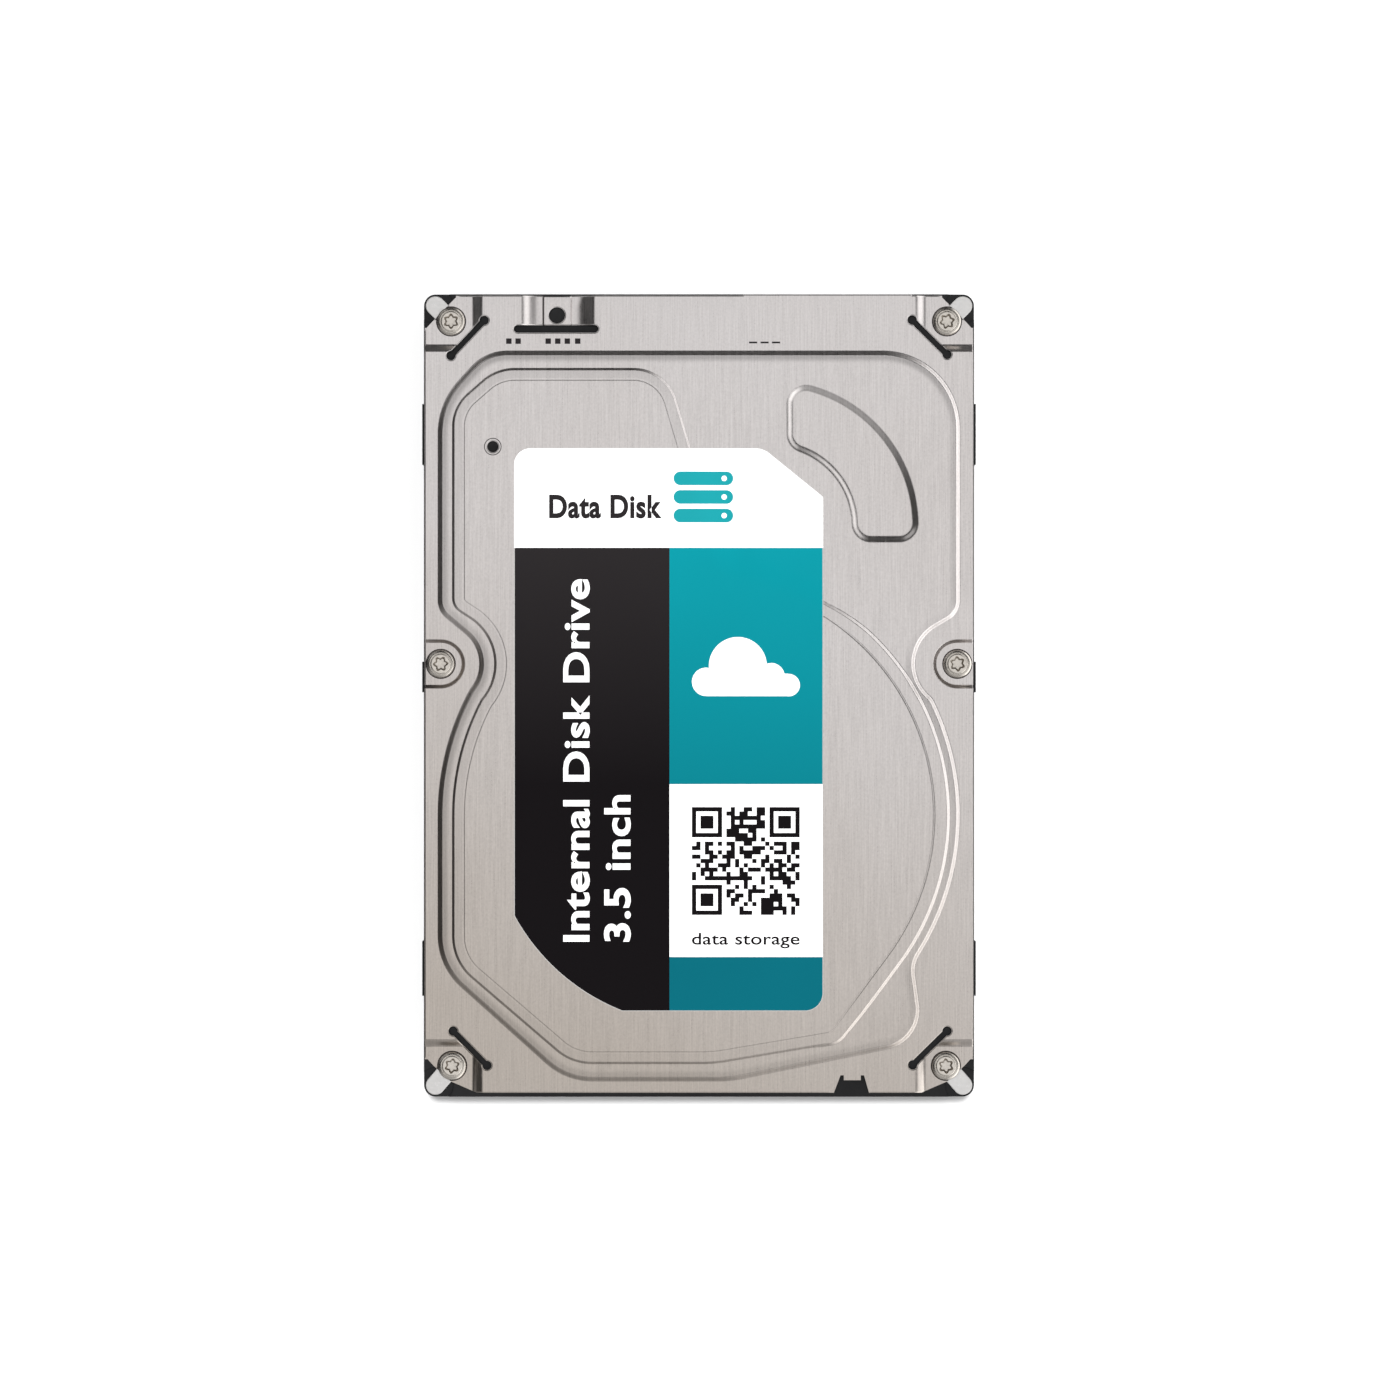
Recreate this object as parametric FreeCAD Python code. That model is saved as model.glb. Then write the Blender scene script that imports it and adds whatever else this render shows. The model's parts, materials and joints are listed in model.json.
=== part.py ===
import FreeCAD, Part
import math
import os

# A 3.5-inch hard disk drive lying flat on its circuit-board side, in millimetres.
# X runs across the drive, +Y points to the connector end and +Z up through the top cover.
# The origin is on the bottom plane, under the middle of the drive.

# outside, after the 3.5-inch form factor
WIDTH = 101.6
LENGTH = 147.0
HEIGHT = 26.1
CASTING_HALF_WIDTH = 50.4
CASTING_CORNER_R = 2.1
SIDE_PAD_SPANS = [(42.4, 53.5), (0.6, 6.2), (-55.1, -45.1)]
SIDE_GROOVE_SPANS = [(-41.0, -4.0), (11.0, 38.0)]
SIDE_GROOVE_DEPTH = 0.5

# height stack
BOARD_BOTTOM = 0.8
BOARD_TOP = 1.8
BOARD_POCKET_TOP = 3.4
FLOOR = 5.0
RIM = 22.7
SHEET = 0.8
TAB_TOP = RIM + SHEET
FLANGE_TOP = 24.5
STEP_TOP = 25.4
PLATEAU_EDGE = 25.7
LABEL_THICKNESS = 0.1
PLATEAU_TOP = HEIGHT - LABEL_THICKNESS
DIMPLE_DEPTH = 1.0
STEP_PROFILE = [
    (1.1, FLANGE_TOP - 0.3),
    (0.75, FLANGE_TOP),
    (0.4, FLANGE_TOP + 0.2),
    (-0.4, STEP_TOP - 0.2),
    (-0.75, STEP_TOP),
]
PLATEAU_PROFILE = [(0.0, STEP_TOP - 0.1), (-0.35, PLATEAU_EDGE), (-2.3, PLATEAU_TOP)]
KIDNEY_PROFILE = [
    (0.9, STEP_TOP + 0.1),
    (0.5, STEP_TOP - 0.1),
    (-0.5, STEP_TOP - 0.5),
    (-0.9, STEP_TOP - 0.6),
]
POST_TOP = PLATEAU_TOP - DIMPLE_DEPTH - SHEET

# spindle and disks
SPINDLE = (0.0, -21.85)
DISK_R = 47.5
DISK_BORE_R = 12.55
DISK_THICKNESS = 1.27
DISK_PITCH = 3.5
DISK_COUNT = 4
FIRST_DISK = 7.6
WELL_R = 48.2
HUB_R = 12.5
SHAFT_R = 2.5
RUNNING_GAP = 0.05
MOTOR_BASE_R = 16.0
STACK_TOP = FIRST_DISK + (DISK_COUNT - 1) * DISK_PITCH + DISK_THICKNESS

# actuator
PIVOT = (-17.0, 31.0)
ARM_ANGLE = -18.4
SWING = 34.4
HEAD_REACH = 50.6
ARM_THICKNESS = 0.9
ARM_REACH = 33.0
BEAM_THICKNESS = 0.2
BARREL_R = 7.0
SLEEVE_R = 6.0
BEARING_R = 5.0
ARM_COUNT = DISK_COUNT + 1
ARM_GAP = DISK_PITCH - DISK_THICKNESS
FIRST_ARM = FIRST_DISK - ARM_GAP / 2
PAD_ANGLE = ARM_ANGLE + 57.5
PAD_HALF_ANGLE = 22.5
PAD_REACH = 8.0
PAD_CORNER = 1.2
PAD_FACE = PAD_REACH * math.cos(math.radians(PAD_HALF_ANGLE)) + PAD_CORNER
COIL_HALF_ANGLE = 20.0
COIL_PLANE = FIRST_ARM + 2 * DISK_PITCH
COIL_THICKNESS = 2.4
FORK_HEIGHT = 3.6
COIL_ANGLE = ARM_ANGLE + 180
MOTOR_ANGLE = COIL_ANGLE - SWING / 2
YOKE_HALF_ANGLE = 52.0
MAGNET_HALF_ANGLE = 37.0
STANDOFF_REACH = 25.5
STANDOFF_ANGLES = [MOTOR_ANGLE - 46.1, MOTOR_ANGLE + 46.1]
MAGNET_GAP = 0.6
MAGNET_THICKNESS = 2.5
YOKE_THICKNESS = 3.0
LOWER_MAGNET_TOP = COIL_PLANE - COIL_THICKNESS / 2 - MAGNET_GAP
UPPER_MAGNET_BOTTOM = COIL_PLANE + COIL_THICKNESS / 2 + MAGNET_GAP
LOWER_YOKE_TOP = LOWER_MAGNET_TOP - MAGNET_THICKNESS
UPPER_YOKE_BOTTOM = UPPER_MAGNET_BOTTOM + MAGNET_THICKNESS
LATCH_PIN = (-38.5, 57.0)
LATCH_OPENING = 18.0

# threaded holes of the form factor: 6-32 UNC, measured from the connector end
THREAD_R = 1.4
SIDE_HOLE_YS = [LENGTH / 2 - 28.5, LENGTH / 2 - 70.1, LENGTH / 2 - 130.1]
SIDE_HOLE_Z = 6.35
SIDE_HOLE_DEPTH = 5.0
BOTTOM_HOLE_X = 95.25 / 2
BOTTOM_HOLE_YS = [LENGTH / 2 - 41.28, LENGTH / 2 - 85.73, LENGTH / 2 - 117.48]
BOTTOM_HOLE_DEPTH = 3.8

# cover fasteners
CORNER_SCREWS = [(45.4, 68.5), (-45.4, 68.5), (-45.2, -67.8), (45.2, -67.8)]
MIDDLE_SCREWS = [(47.3, 5.8), (-47.3, 5.8)]
SCREW_HEAD_R = 2.6
SCREW_SHANK_R = 1.5
LOBES = [(48.3, 71.4), (-48.3, 71.4), (-48.3, -71.4), (48.3, -71.4)]
LOBE_R = 1.75
COVER_HALF_WIDTH = 50.2
COVER_TOP = 73.2
COVER_BOTTOM = -72.7
TAB_BENDS = [(39.4, 62.8), (41.7, 64.4)]
SLOT_R = 0.55
SLOT_END_R = 0.85
RELIEF_SLOTS = [
    ((39.0, 68.75), (45.4, 62.4)),
    ((-39.3, 68.65), (-45.4, 62.2)),
    ((-45.0, -61.4), (-38.8, -67.7)),
    ((45.4, -61.4), (39.1, -67.6)),
]
# outline of the notch round each corner pad, measured outwards from its screw
UPPER_NOTCH = [(0.2, 3.3), (-0.9, 4.4), (-0.9, 9.0), (9.0, 9.0), (9.0, -1.2), (4.5, -1.2), (3.4, 0.0)]
LOWER_NOTCH = [(0.2, 2.9), (-1.0, 3.4), (-4.9, 5.1), (-4.9, 9.0), (9.0, 9.0), (9.0, -1.2), (4.5, -1.2), (3.4, 0.0)]
BREATHER = (-37.7, 45.5)
TONGUE_X = -26.0

# board and connectors
CONNECTOR_X = 20.7
CONNECTOR_WIDTH = 42.4
CONNECTOR_BACK = 66.6
CONNECTOR_FRONT = 73.2
TONGUE_LOW = 4.0
TONGUE_HIGH = 5.2
SIGNAL_SPAN = (2.4, 12.9)
POWER_SPAN = (15.4, 36.0)
CONTACT_PITCH = 1.27
CONTACT_GROUPS = [(7, 4.3), (15, 17.3)]
BOARD_SCREW_PAIRS = [(42.0, 62.0), (42.0, 20.0), (30.0, -10.5)]
BOARD_SCREWS = [(sign * x, y) for sign in (1, -1) for x, y in BOARD_SCREW_PAIRS]
BULKHEAD = (10.0, 46.0)
RAMP_FOOT = (42.8, 17.6)

LEFT = 1
RIGHT = -1


def polar(centre, radius, degrees):
    a = math.radians(degrees)
    return (centre[0] + radius * math.cos(a), centre[1] + radius * math.sin(a))


def meeting(c1, r1, c2, r2, side):
    """The point r1 from c1 and r2 from c2, to the left or right of the way from c1 to c2."""
    dx = c2[0] - c1[0]
    dy = c2[1] - c1[1]
    d = math.hypot(dx, dy)
    along = (d * d + r1 * r1 - r2 * r2) / (2 * d)
    across = side * math.sqrt(r1 * r1 - along * along)
    return (c1[0] + (along * dx - across * dy) / d, c1[1] + (along * dy + across * dx) / d)


def belt(rounds, grow=0.0, z=0.0):
    """A closed outline, counter-clockwise, that runs round circles (x, y, radius, side) like a belt.

    It passes a LEFT circle on the outside and a RIGHT one as a hollow. grow moves all of it outwards.
    """
    radii = [side * r + grow for _, _, r, side in rounds]
    headings = []
    for i, (x, y, _, _) in enumerate(rounds):
        j = (i + 1) % len(rounds)
        dx = rounds[j][0] - x
        dy = rounds[j][1] - y
        lean = (radii[i] - radii[j]) / math.hypot(dx, dy)
        headings.append(math.atan2(dy, dx) + math.asin(max(-1.0, min(1.0, lean))))
    spans = []
    for i, (x, y, _, side) in enumerate(rounds):
        turn = side * ((side * (headings[i] - headings[i - 1])) % (2 * math.pi))
        if abs(turn) > 2 * math.pi - 1e-4:
            turn = 0.0
        points = []
        for part in (0.0, 0.5, 1.0):
            h = headings[i - 1] + part * turn
            points.append(FreeCAD.Vector(x + radii[i] * math.sin(h), y - radii[i] * math.cos(h), z))
        if abs(turn * radii[i]) < 1e-5:
            points = [points[0]]
        spans.append(points)
    for i, points in enumerate(spans):
        if spans[i - 1][-1].distanceToPoint(points[0]) < 1e-4:
            points[0] = spans[i - 1][-1]
    edges = []
    for i, points in enumerate(spans):
        if spans[i - 1][-1] is not points[0]:
            edges.append(Part.LineSegment(spans[i - 1][-1], points[0]).toShape())
        if len(points) == 3:
            edges.append(Part.Arc(*points).toShape())
    return Part.Wire(edges)


def prism(wire, bottom, top):
    """Solid over a flat outline drawn at height 0."""
    solid = Part.Face(wire).extrude(FreeCAD.Vector(0, 0, top - bottom))
    solid.translate(FreeCAD.Vector(0, 0, bottom))
    return solid


def terrace(rounds, profile):
    """Solid with sloping sides: profile lists (grow, height) from one end to the other."""
    return Part.makeLoft([belt(rounds, grow, z) for grow, z in profile], True, True)


def polygon(points, bottom, top):
    corners = [FreeCAD.Vector(x, y, 0) for x, y in points]
    return prism(Part.makePolygon(corners + corners[:1]), bottom, top)


def box(x0, x1, y0, y1, z0, z1):
    return Part.makeBox(x1 - x0, y1 - y0, z1 - z0, FreeCAD.Vector(x0, y0, z0))


def disc(centre, radius, bottom, top):
    return Part.makeCylinder(radius, top - bottom, FreeCAD.Vector(centre[0], centre[1], bottom))


def ring(centre, inner, outer, bottom, top):
    return disc(centre, outer, bottom, top).cut(disc(centre, inner, bottom - 1, top + 1))


def bar(a, b, radius, bottom, top):
    """Round-ended bar from a to b."""
    return prism(belt([(*a, radius, LEFT), (*b, radius, LEFT)]), bottom, top)


def union(shapes):
    return shapes[0].multiFuse(shapes[1:]).removeSplitter()


def group(shapes):
    return Part.makeCompound(shapes)


def sector(centre, inner, outer, middle, half, corner, bottom, top):
    """Piece of a ring with rounded corners, centred on an angle in degrees."""
    near = math.degrees(math.asin(corner / (inner + corner)))
    far = math.degrees(math.asin(corner / (outer - corner)))
    rounds = [
        (*polar(centre, inner + corner, middle - half + near), corner, LEFT),
        (*polar(centre, outer - corner, middle - half + far), corner, LEFT),
        (*centre, outer, LEFT),
        (*polar(centre, outer - corner, middle + half - far), corner, LEFT),
        (*polar(centre, inner + corner, middle + half - near), corner, LEFT),
        (*centre, inner, RIGHT),
    ]
    return prism(belt(rounds), bottom, top)


def turned(shape, centre, degrees):
    copy = shape.copy()
    copy.rotate(FreeCAD.Vector(centre[0], centre[1], 0), FreeCAD.Vector(0, 0, 1), degrees)
    return copy


def lobed_recess(centre, radius, bottom, top):
    """Six-lobed driver recess."""
    lobes = [disc(polar(centre, radius * 0.72, 60 * i), radius * 0.30, bottom, top) for i in range(6)]
    return union([disc(centre, radius * 0.74, bottom, top)] + lobes)


def screw(centre, head_r, shank_r, seat, head_height, tip, recess_depth=0.7):
    """Pan-head screw with a six-lobed recess, its head standing on the seat height."""
    head = disc(centre, head_r, seat, seat + head_height)
    head = head.makeFillet(head_height * 0.45, [head.Edges[0]])
    shank = disc(centre, shank_r, tip, seat)
    top = seat + head_height
    return union([head, shank]).cut(lobed_recess(centre, head_r * 0.52, top - recess_depth, top + 1))


# outlines of the cover's pressed areas

def step_outline():
    """Raised middle of the cover, which narrows round the two middle screws."""
    side = 47.4
    blend = 3.0
    right_hollow = 8.1
    left_hollow = 7.5
    right_screw, left_screw = MIDDLE_SCREWS
    return [
        (33.6, 48.9, 13.8, LEFT),
        (-35.1, 54.2, 8.5, LEFT),
        (-33.4, 47.9, 14.0, LEFT),
        (-43.65, 17.4, 3.75, LEFT),
        (*left_screw, left_hollow, RIGHT),
        (*meeting(SPINDLE, side - blend, left_screw, left_hollow + blend, LEFT), blend, LEFT),
        (*SPINDLE, side, LEFT),
        (-35.1, -43.9, 12.3, LEFT),
        (-19.5, -57.9, 12.3, LEFT),
        (3.2, -45.2, 25.0, LEFT),
        (33.0, -57.5, 7.0, LEFT),
        (*polar(SPINDLE, side + 6.0, -32.3), 6.0, RIGHT),
        (*SPINDLE, side, LEFT),
        (*meeting(SPINDLE, side - blend, right_screw, right_hollow + blend, RIGHT), blend, LEFT),
        (*right_screw, right_hollow, RIGHT),
        (43.65, 17.4, 3.75, LEFT),
    ]


def plateau_outline():
    """Second, slightly higher level: over the disks and the upper left of the cover."""
    side = 45.1
    hollow = 9.9
    blend = 3.2
    left_screw = MIDDLE_SCREWS[1]
    return [
        (*SPINDLE, side, LEFT),
        (*polar(SPINDLE, side + 5.0, 79.7), 5.0, RIGHT),
        (-12.0, 51.65, 8.2, LEFT),
        (-33.7, 50.85, 9.0, LEFT),
        (-37.1, 49.2, 8.0, LEFT),
        (-42.1, 17.8, 3.0, LEFT),
        (*left_screw, hollow, RIGHT),
        (*meeting(SPINDLE, side - blend, left_screw, hollow + blend, LEFT), blend, LEFT),
        (*SPINDLE, side, LEFT),
        (-35.1, -44.05, 10.0, LEFT),
        (-19.6, -57.35, 10.0, LEFT),
        (0.6, -42.35, 25.0, LEFT),
        (23.0, -59.9, 4.0, LEFT),
    ]


def kidney_outline():
    """Bean-shaped hollow beside the heads' parking place."""
    centre = (13.5, 31.0)
    inner = 15.0
    outer = 26.1
    corner = 3.0
    left = 16.6 + corner
    low = 28.6 + corner
    return [
        (*centre, outer, LEFT),
        (left, centre[1] + math.sqrt((outer - corner) ** 2 - (left - centre[0]) ** 2), corner, LEFT),
        (left, centre[1] + math.sqrt((inner + corner) ** 2 - (left - centre[0]) ** 2), corner, LEFT),
        (*centre, inner, RIGHT),
        (centre[0] + math.sqrt((inner + corner) ** 2 - (low - centre[1]) ** 2), low, corner, LEFT),
        (centre[0] + math.sqrt((outer - corner) ** 2 - (low - centre[1]) ** 2), low, corner, LEFT),
    ]


def label_outline():
    left = -33.8
    bottom = -57.7
    edge_r = 38.5
    corner = 0.3
    chord_y = SPINDLE[1] - math.sqrt((edge_r - corner) ** 2 - (left + corner) ** 2)
    chord_x = -math.sqrt((edge_r - corner) ** 2 - (bottom + corner - SPINDLE[1]) ** 2)
    return [
        (10.3, 41.2, 4.0, LEFT),
        (-30.8, 42.2, 3.0, LEFT),
        (left + corner, chord_y, corner, LEFT),
        (*SPINDLE, edge_r, LEFT),
        (chord_x, bottom + corner, corner, LEFT),
        (19.4, -54.4, 3.3, LEFT),
        (22.2, 36.05, 0.5, LEFT),
    ]


def rounded_rectangle(x0, x1, y0, y1, r):
    corners = [(x1 - r, y1 - r), (x0 + r, y1 - r), (x0 + r, y0 + r), (x1 - r, y0 + r)]
    return [(x, y, r, LEFT) for x, y in corners]


# housing

def corner_notch(screw_point):
    """What the cover leaves open round one corner pad of the casting."""
    x, y = screw_point
    outline = UPPER_NOTCH if y > 0 else LOWER_NOTCH
    points = [(x + math.copysign(dx, x * dx), y + math.copysign(dy, y * dy)) for dx, dy in outline]
    return polygon(points, 20, 28)


def connector_opening():
    half = CONNECTOR_WIDTH / 2 + 0.4
    return box(CONNECTOR_X - half, CONNECTOR_X + half, 65.5, LENGTH / 2 + 1, -1, 7.4)


def side_grooves():
    """Shallow round-ended recesses along both long sides."""
    grooves = []
    for low, high in SIDE_GROOVE_SPANS:
        groove = bar((low + 4.0, 14.2), (high - 4.0, 14.2), 4.0, -SIDE_GROOVE_DEPTH, SIDE_GROOVE_DEPTH)
        groove.rotate(FreeCAD.Vector(0, 0, 0), FreeCAD.Vector(1, 1, 1), 120)
        for sign in (-1, 1):
            copy = groove.copy()
            copy.translate(FreeCAD.Vector(sign * CASTING_HALF_WIDTH, 0, 0))
            grooves.append(copy)
    return grooves


def casting_block():
    half_length = LENGTH / 2
    half_width = CASTING_HALF_WIDTH
    outline = rounded_rectangle(-half_width, half_width, -half_length, half_length, CASTING_CORNER_R)
    shapes = [prism(belt(outline), 0, RIM)]
    for low, high in SIDE_PAD_SPANS:
        shapes.append(box(-WIDTH / 2, WIDTH / 2, low, high, 1.0, 20.0))
    return union(shapes)


def inner_bosses():
    """Seats that stand on the casting's floor."""
    base = FLOOR - 1
    yoke_seat = LOWER_YOKE_TOP - YOKE_THICKNESS
    bosses = [disc(PIVOT, 4.5, base, FLOOR + 0.7), disc(LATCH_PIN, 2.2, base, COIL_PLANE - 1.6)]
    for sign in (-1, 1):
        x0, x1 = sorted((sign * 44.6, sign * 48.5))
        bosses.append(box(x0, x1, SIDE_HOLE_YS[0] - 3.5, SIDE_HOLE_YS[0] + 3.5, base, 9.3))
    for point in standoff_points():
        bosses.append(disc(point, 3.2, base, yoke_seat))
    bosses.append(disc(polar(PIVOT, 16.5, MOTOR_ANGLE), 2.0, base, yoke_seat))
    return bosses


def board_pocket():
    """Hollow under the casting for the circuit board, round the bosses that stay."""
    pocket = union([box(-46.6, 46.6, -15, 69, -1, BOARD_POCKET_TOP), connector_opening()])
    keep = [disc(SPINDLE, MOTOR_BASE_R + 2.2, -2, 4)]
    for point in bottom_hole_points():
        keep.append(disc(point, 4.0, -2, 4))
    for point in BOARD_SCREWS:
        keep.append(disc(point, 3.0, BOARD_TOP, 4))
    return pocket.cut(union(keep))


def underside_relief():
    """Shallow fan-shaped hollows between ribs, under the disks."""
    fan = disc(SPINDLE, 44.0, -1, 1.2).cut(box(-60, 60, -17, 80, -2, 2))
    ribs = [disc(SPINDLE, MOTOR_BASE_R + 2.2, -2, 2)]
    for i in range(7):
        rib = turned(box(18, 45, -0.6, 0.6, -2, 2), (0, 0), 195 + 25 * i)
        rib.translate(FreeCAD.Vector(*SPINDLE, 0))
        ribs.append(rib)
    return fan.cut(union(ribs))


def bottom_hole_points():
    return [(x, y) for x in (-BOTTOM_HOLE_X, BOTTOM_HOLE_X) for y in BOTTOM_HOLE_YS]


def casting_holes():
    holes = [disc(SPINDLE, MOTOR_BASE_R, -1, FLOOR + 1)]
    holes.append(disc(PIVOT, SHAFT_R, BOARD_POCKET_TOP - 1, FLOOR + 2))
    holes.append(flex_strip(0.5, -1, BOARD_BOTTOM + 0.2))
    holes.append(box(BULKHEAD[0] - 5, BULKHEAD[0] + 5, BULKHEAD[1] - 2.5, BULKHEAD[1] + 2.5, 2, FLOOR + 1))
    for point in CORNER_SCREWS + MIDDLE_SCREWS:
        holes.append(disc(point, SCREW_SHANK_R, 14.0, RIM + 1))
    for point in BOARD_SCREWS:
        holes.append(disc(point, 1.1, 1.0, 4.4))
    for point in bottom_hole_points():
        holes.append(disc(point, THREAD_R, -1, BOTTOM_HOLE_DEPTH))
    for sign in (-1, 1):
        for y in SIDE_HOLE_YS:
            face = WIDTH / 2 if y > -50 else CASTING_HALF_WIDTH
            start = FreeCAD.Vector(sign * (face - SIDE_HOLE_DEPTH), y, SIDE_HOLE_Z)
            axis = FreeCAD.Vector(sign, 0, 0)
            holes.append(Part.makeCylinder(THREAD_R, SIDE_HOLE_DEPTH + 1, start, axis))
    return holes


def base_casting():
    cavity = prism(belt(step_outline(), 0.4), FLOOR, RIM + 1)
    body = casting_block().cut(union([cavity, disc(SPINDLE, WELL_R, FLOOR, RIM + 1)]))
    body = union([body] + inner_bosses())
    body = body.cut(board_pocket())
    body = body.cut(underside_relief())
    body = body.cut(group(casting_holes() + side_grooves()))
    for i in range(4):
        ledge = disc(LOBES[i], 3.3, RIM - 0.8, RIM + 1)
        body = body.cut(ledge.cut(bar(LOBES[i], CORNER_SCREWS[i], LOBE_R, RIM - 2, RIM + 2)))
    return body.removeSplitter()


def tab_lowering(screw_point, slot):
    """What is pressed down at one corner: everything beyond the two bends and the relief slot."""
    sx = math.copysign(1, screw_point[0])
    sy = math.copysign(1, screw_point[1])
    levels = []
    for (bend_x, bend_y), z in zip(TAB_BENDS, (FLANGE_TOP + 0.1, TAB_TOP)):
        corners = [(bend_x, bend_y), (60, bend_y), (60, 80), (bend_x, 80), (bend_x, bend_y)]
        levels.append(Part.makePolygon([FreeCAD.Vector(sx * x, sy * y, z) for x, y in corners]))
    (ax, ay), (bx, by) = slot
    run_x = 6.0 * (bx - ax)
    run_y = 6.0 * (by - ay)
    inner = [(ax - run_x, ay - run_y), (bx + run_x, by + run_y)]
    outer = [(x + sx * 60, y + sy * 60) for x, y in reversed(inner)]
    return Part.makeLoft(levels, True, True).common(polygon(inner + outer, 20, 30))


def cover_body():
    """Solid whose top is the cover's outer surface, before its holes and screw dimples."""
    half = COVER_HALF_WIDTH
    slab = prism(belt(rounded_rectangle(-half, half, COVER_BOTTOM, COVER_TOP, 0.8)), 21.0, FLANGE_TOP)
    swell = box(8.0, 39.0, COVER_TOP - 1, COVER_TOP + 0.2, 21.0, FLANGE_TOP)
    raised = terrace(step_outline(), STEP_PROFILE)
    plateau = terrace(plateau_outline(), PLATEAU_PROFILE)
    body = union([slab, swell, raised, plateau])
    body = body.cut(terrace(kidney_outline(), KIDNEY_PROFILE))
    for screw_point, slot in zip(CORNER_SCREWS, RELIEF_SLOTS):
        body = body.cut(tab_lowering(screw_point, slot))
    for (x, y) in MIDDLE_SCREWS:
        seat = [(x, y, 4.0, LEFT), (x + math.copysign(12, x), y, 4.0, LEFT)]
        body = body.cut(terrace(seat, [(0.6, FLANGE_TOP + 0.1), (-0.2, TAB_TOP)]))
    channel = rounded_rectangle(-31.9, -19.7, 66.0, 90.0, 0.3)
    body = body.cut(terrace(channel, [(1.0, FLANGE_TOP + 0.1), (0.0, TAB_TOP)]))
    pad = rounded_rectangle(-28.4, -23.5, 67.0, COVER_TOP - 0.2, 0.2)
    return union([body, terrace(pad, [(0.5, TAB_TOP - 0.2), (0.0, TAB_TOP + 0.35)])])


def thin_shell(body, thickness):
    """The layer of a solid's upper surface, measured downwards."""
    lower = body.copy()
    lower.translate(FreeCAD.Vector(0, 0, -thickness))
    return body.cut(lower)


def cover_cuts():
    cuts = []
    for point in CORNER_SCREWS + MIDDLE_SCREWS:
        cuts.append(disc(point, 1.8, 20, 28))
    for a, b in RELIEF_SLOTS:
        cuts.append(bar(a, b, SLOT_R, 20, 28))
        cuts.append(disc(a, SLOT_END_R, 20, 28))
        cuts.append(disc(b, SLOT_END_R, 20, 28))
    for point in CORNER_SCREWS:
        cuts.append(corner_notch(point))
    cuts.append(bar((-33.2, 67.1), (-19.1, 67.1), 0.7, 20, 28))
    cuts.append(disc((TONGUE_X, 69.6), 1.5, 20, 28))
    cuts.append(disc(BREATHER, 1.05, 20, 28))
    low = COVER_BOTTOM - 1
    notch = polygon([(24.3, low), (31.4, low), (30.2, -69.5), (25.9, -69.5)], 20, 28)
    cuts.append(notch.cut(box(26.5, 29.6, -70.4, -69, 19, 29)))
    return group(cuts)


def top_cover(body):
    for point in (SPINDLE, PIVOT):
        rounds = [(*point, 4.6, LEFT), (point[0] + 0.01, point[1], 4.6, LEFT)]
        dimple = terrace(rounds, [(0.8, PLATEAU_TOP + 0.1), (0.0, PLATEAU_TOP - DIMPLE_DEPTH)])
        body = body.cut(dimple)
    sheet = thin_shell(body, SHEET)
    holes = [cover_cuts()] + [disc(point, 1.4, 20, 28) for point in (SPINDLE, PIVOT)]
    sheet = sheet.cut(group(holes))
    return max(sheet.Solids, key=lambda s: s.Volume)


def label(body):
    raised = body.copy()
    raised.translate(FreeCAD.Vector(0, 0, LABEL_THICKNESS))
    film = raised.cut(body).common(prism(belt(label_outline()), 24.0, 28.0))
    return max(film.Solids, key=lambda s: s.Volume)


def cover_gasket():
    outer = prism(belt(step_outline(), 1.6), RIM, FLANGE_TOP - SHEET - 0.05)
    return outer.cut(prism(belt(step_outline(), 0.9), RIM - 1, FLANGE_TOP + 1))


def cover_screws():
    return group([
        screw(p, SCREW_HEAD_R, SCREW_SHANK_R, TAB_TOP, 1.1, 15.0) for p in CORNER_SCREWS + MIDDLE_SCREWS
    ])


def shaft_screws():
    seat = PLATEAU_TOP - DIMPLE_DEPTH
    return group([screw(p, 3.4, 1.3, seat, 0.85, seat - 5.0, 0.6) for p in (SPINDLE, PIVOT)])


def breather_filter():
    centre = (BREATHER[0] + 1.5, BREATHER[1])
    return disc(centre, 5.5, PLATEAU_TOP - SHEET - 2.2, PLATEAU_TOP - SHEET)


def recirculation_filter():
    centre = polar(SPINDLE, 51.4, -46.7)
    block = box(centre[0] - 1.5, centre[0] + 1.5, centre[1] - 4.2, centre[1] + 4.2, FLOOR, 19.5)
    return turned(block, centre, -46.7)


def desiccant_pack():
    return prism(belt(rounded_rectangle(39.6, 45.4, 24.0, 37.0, 1.2)), FLOOR, 17.0)


# spindle motor and disk stack

def motor_base():
    plate = disc(SPINDLE, MOTOR_BASE_R, BOARD_BOTTOM, FLOOR)
    post = disc(SPINDLE, 5.0, FLOOR - 1, 12.6)
    body = union([plate, post])
    bore = disc(SPINDLE, 4.4, FLOOR, 14)
    groove = ring(SPINDLE, 10.5, 13.5, 0, BOARD_BOTTOM + 0.5)
    return body.cut(group([bore, disc(SPINDLE, SHAFT_R, 0, FLOOR + 1), groove]))


def spindle_shaft():
    return disc(SPINDLE, SHAFT_R, 0.9, POST_TOP).cut(disc(SPINDLE, 1.3, POST_TOP - 4.5, POST_TOP + 1))


def stator_core():
    plate = ring(SPINDLE, 5.0, 6.6, 7.6, 11.4)
    teeth = []
    for i in range(12):
        tooth = box(6.0, 9.6, -0.55, 0.55, 7.6, 11.4)
        shoe = ring((0, 0), 9.3, 10.1, 7.6, 11.4).common(box(8, 11, -2.0, 2.0, 7, 12))
        for piece in (tooth, shoe):
            piece = turned(piece, (0, 0), 30 * i)
            piece.translate(FreeCAD.Vector(*SPINDLE, 0))
            teeth.append(piece)
    return union([plate] + teeth)


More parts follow.
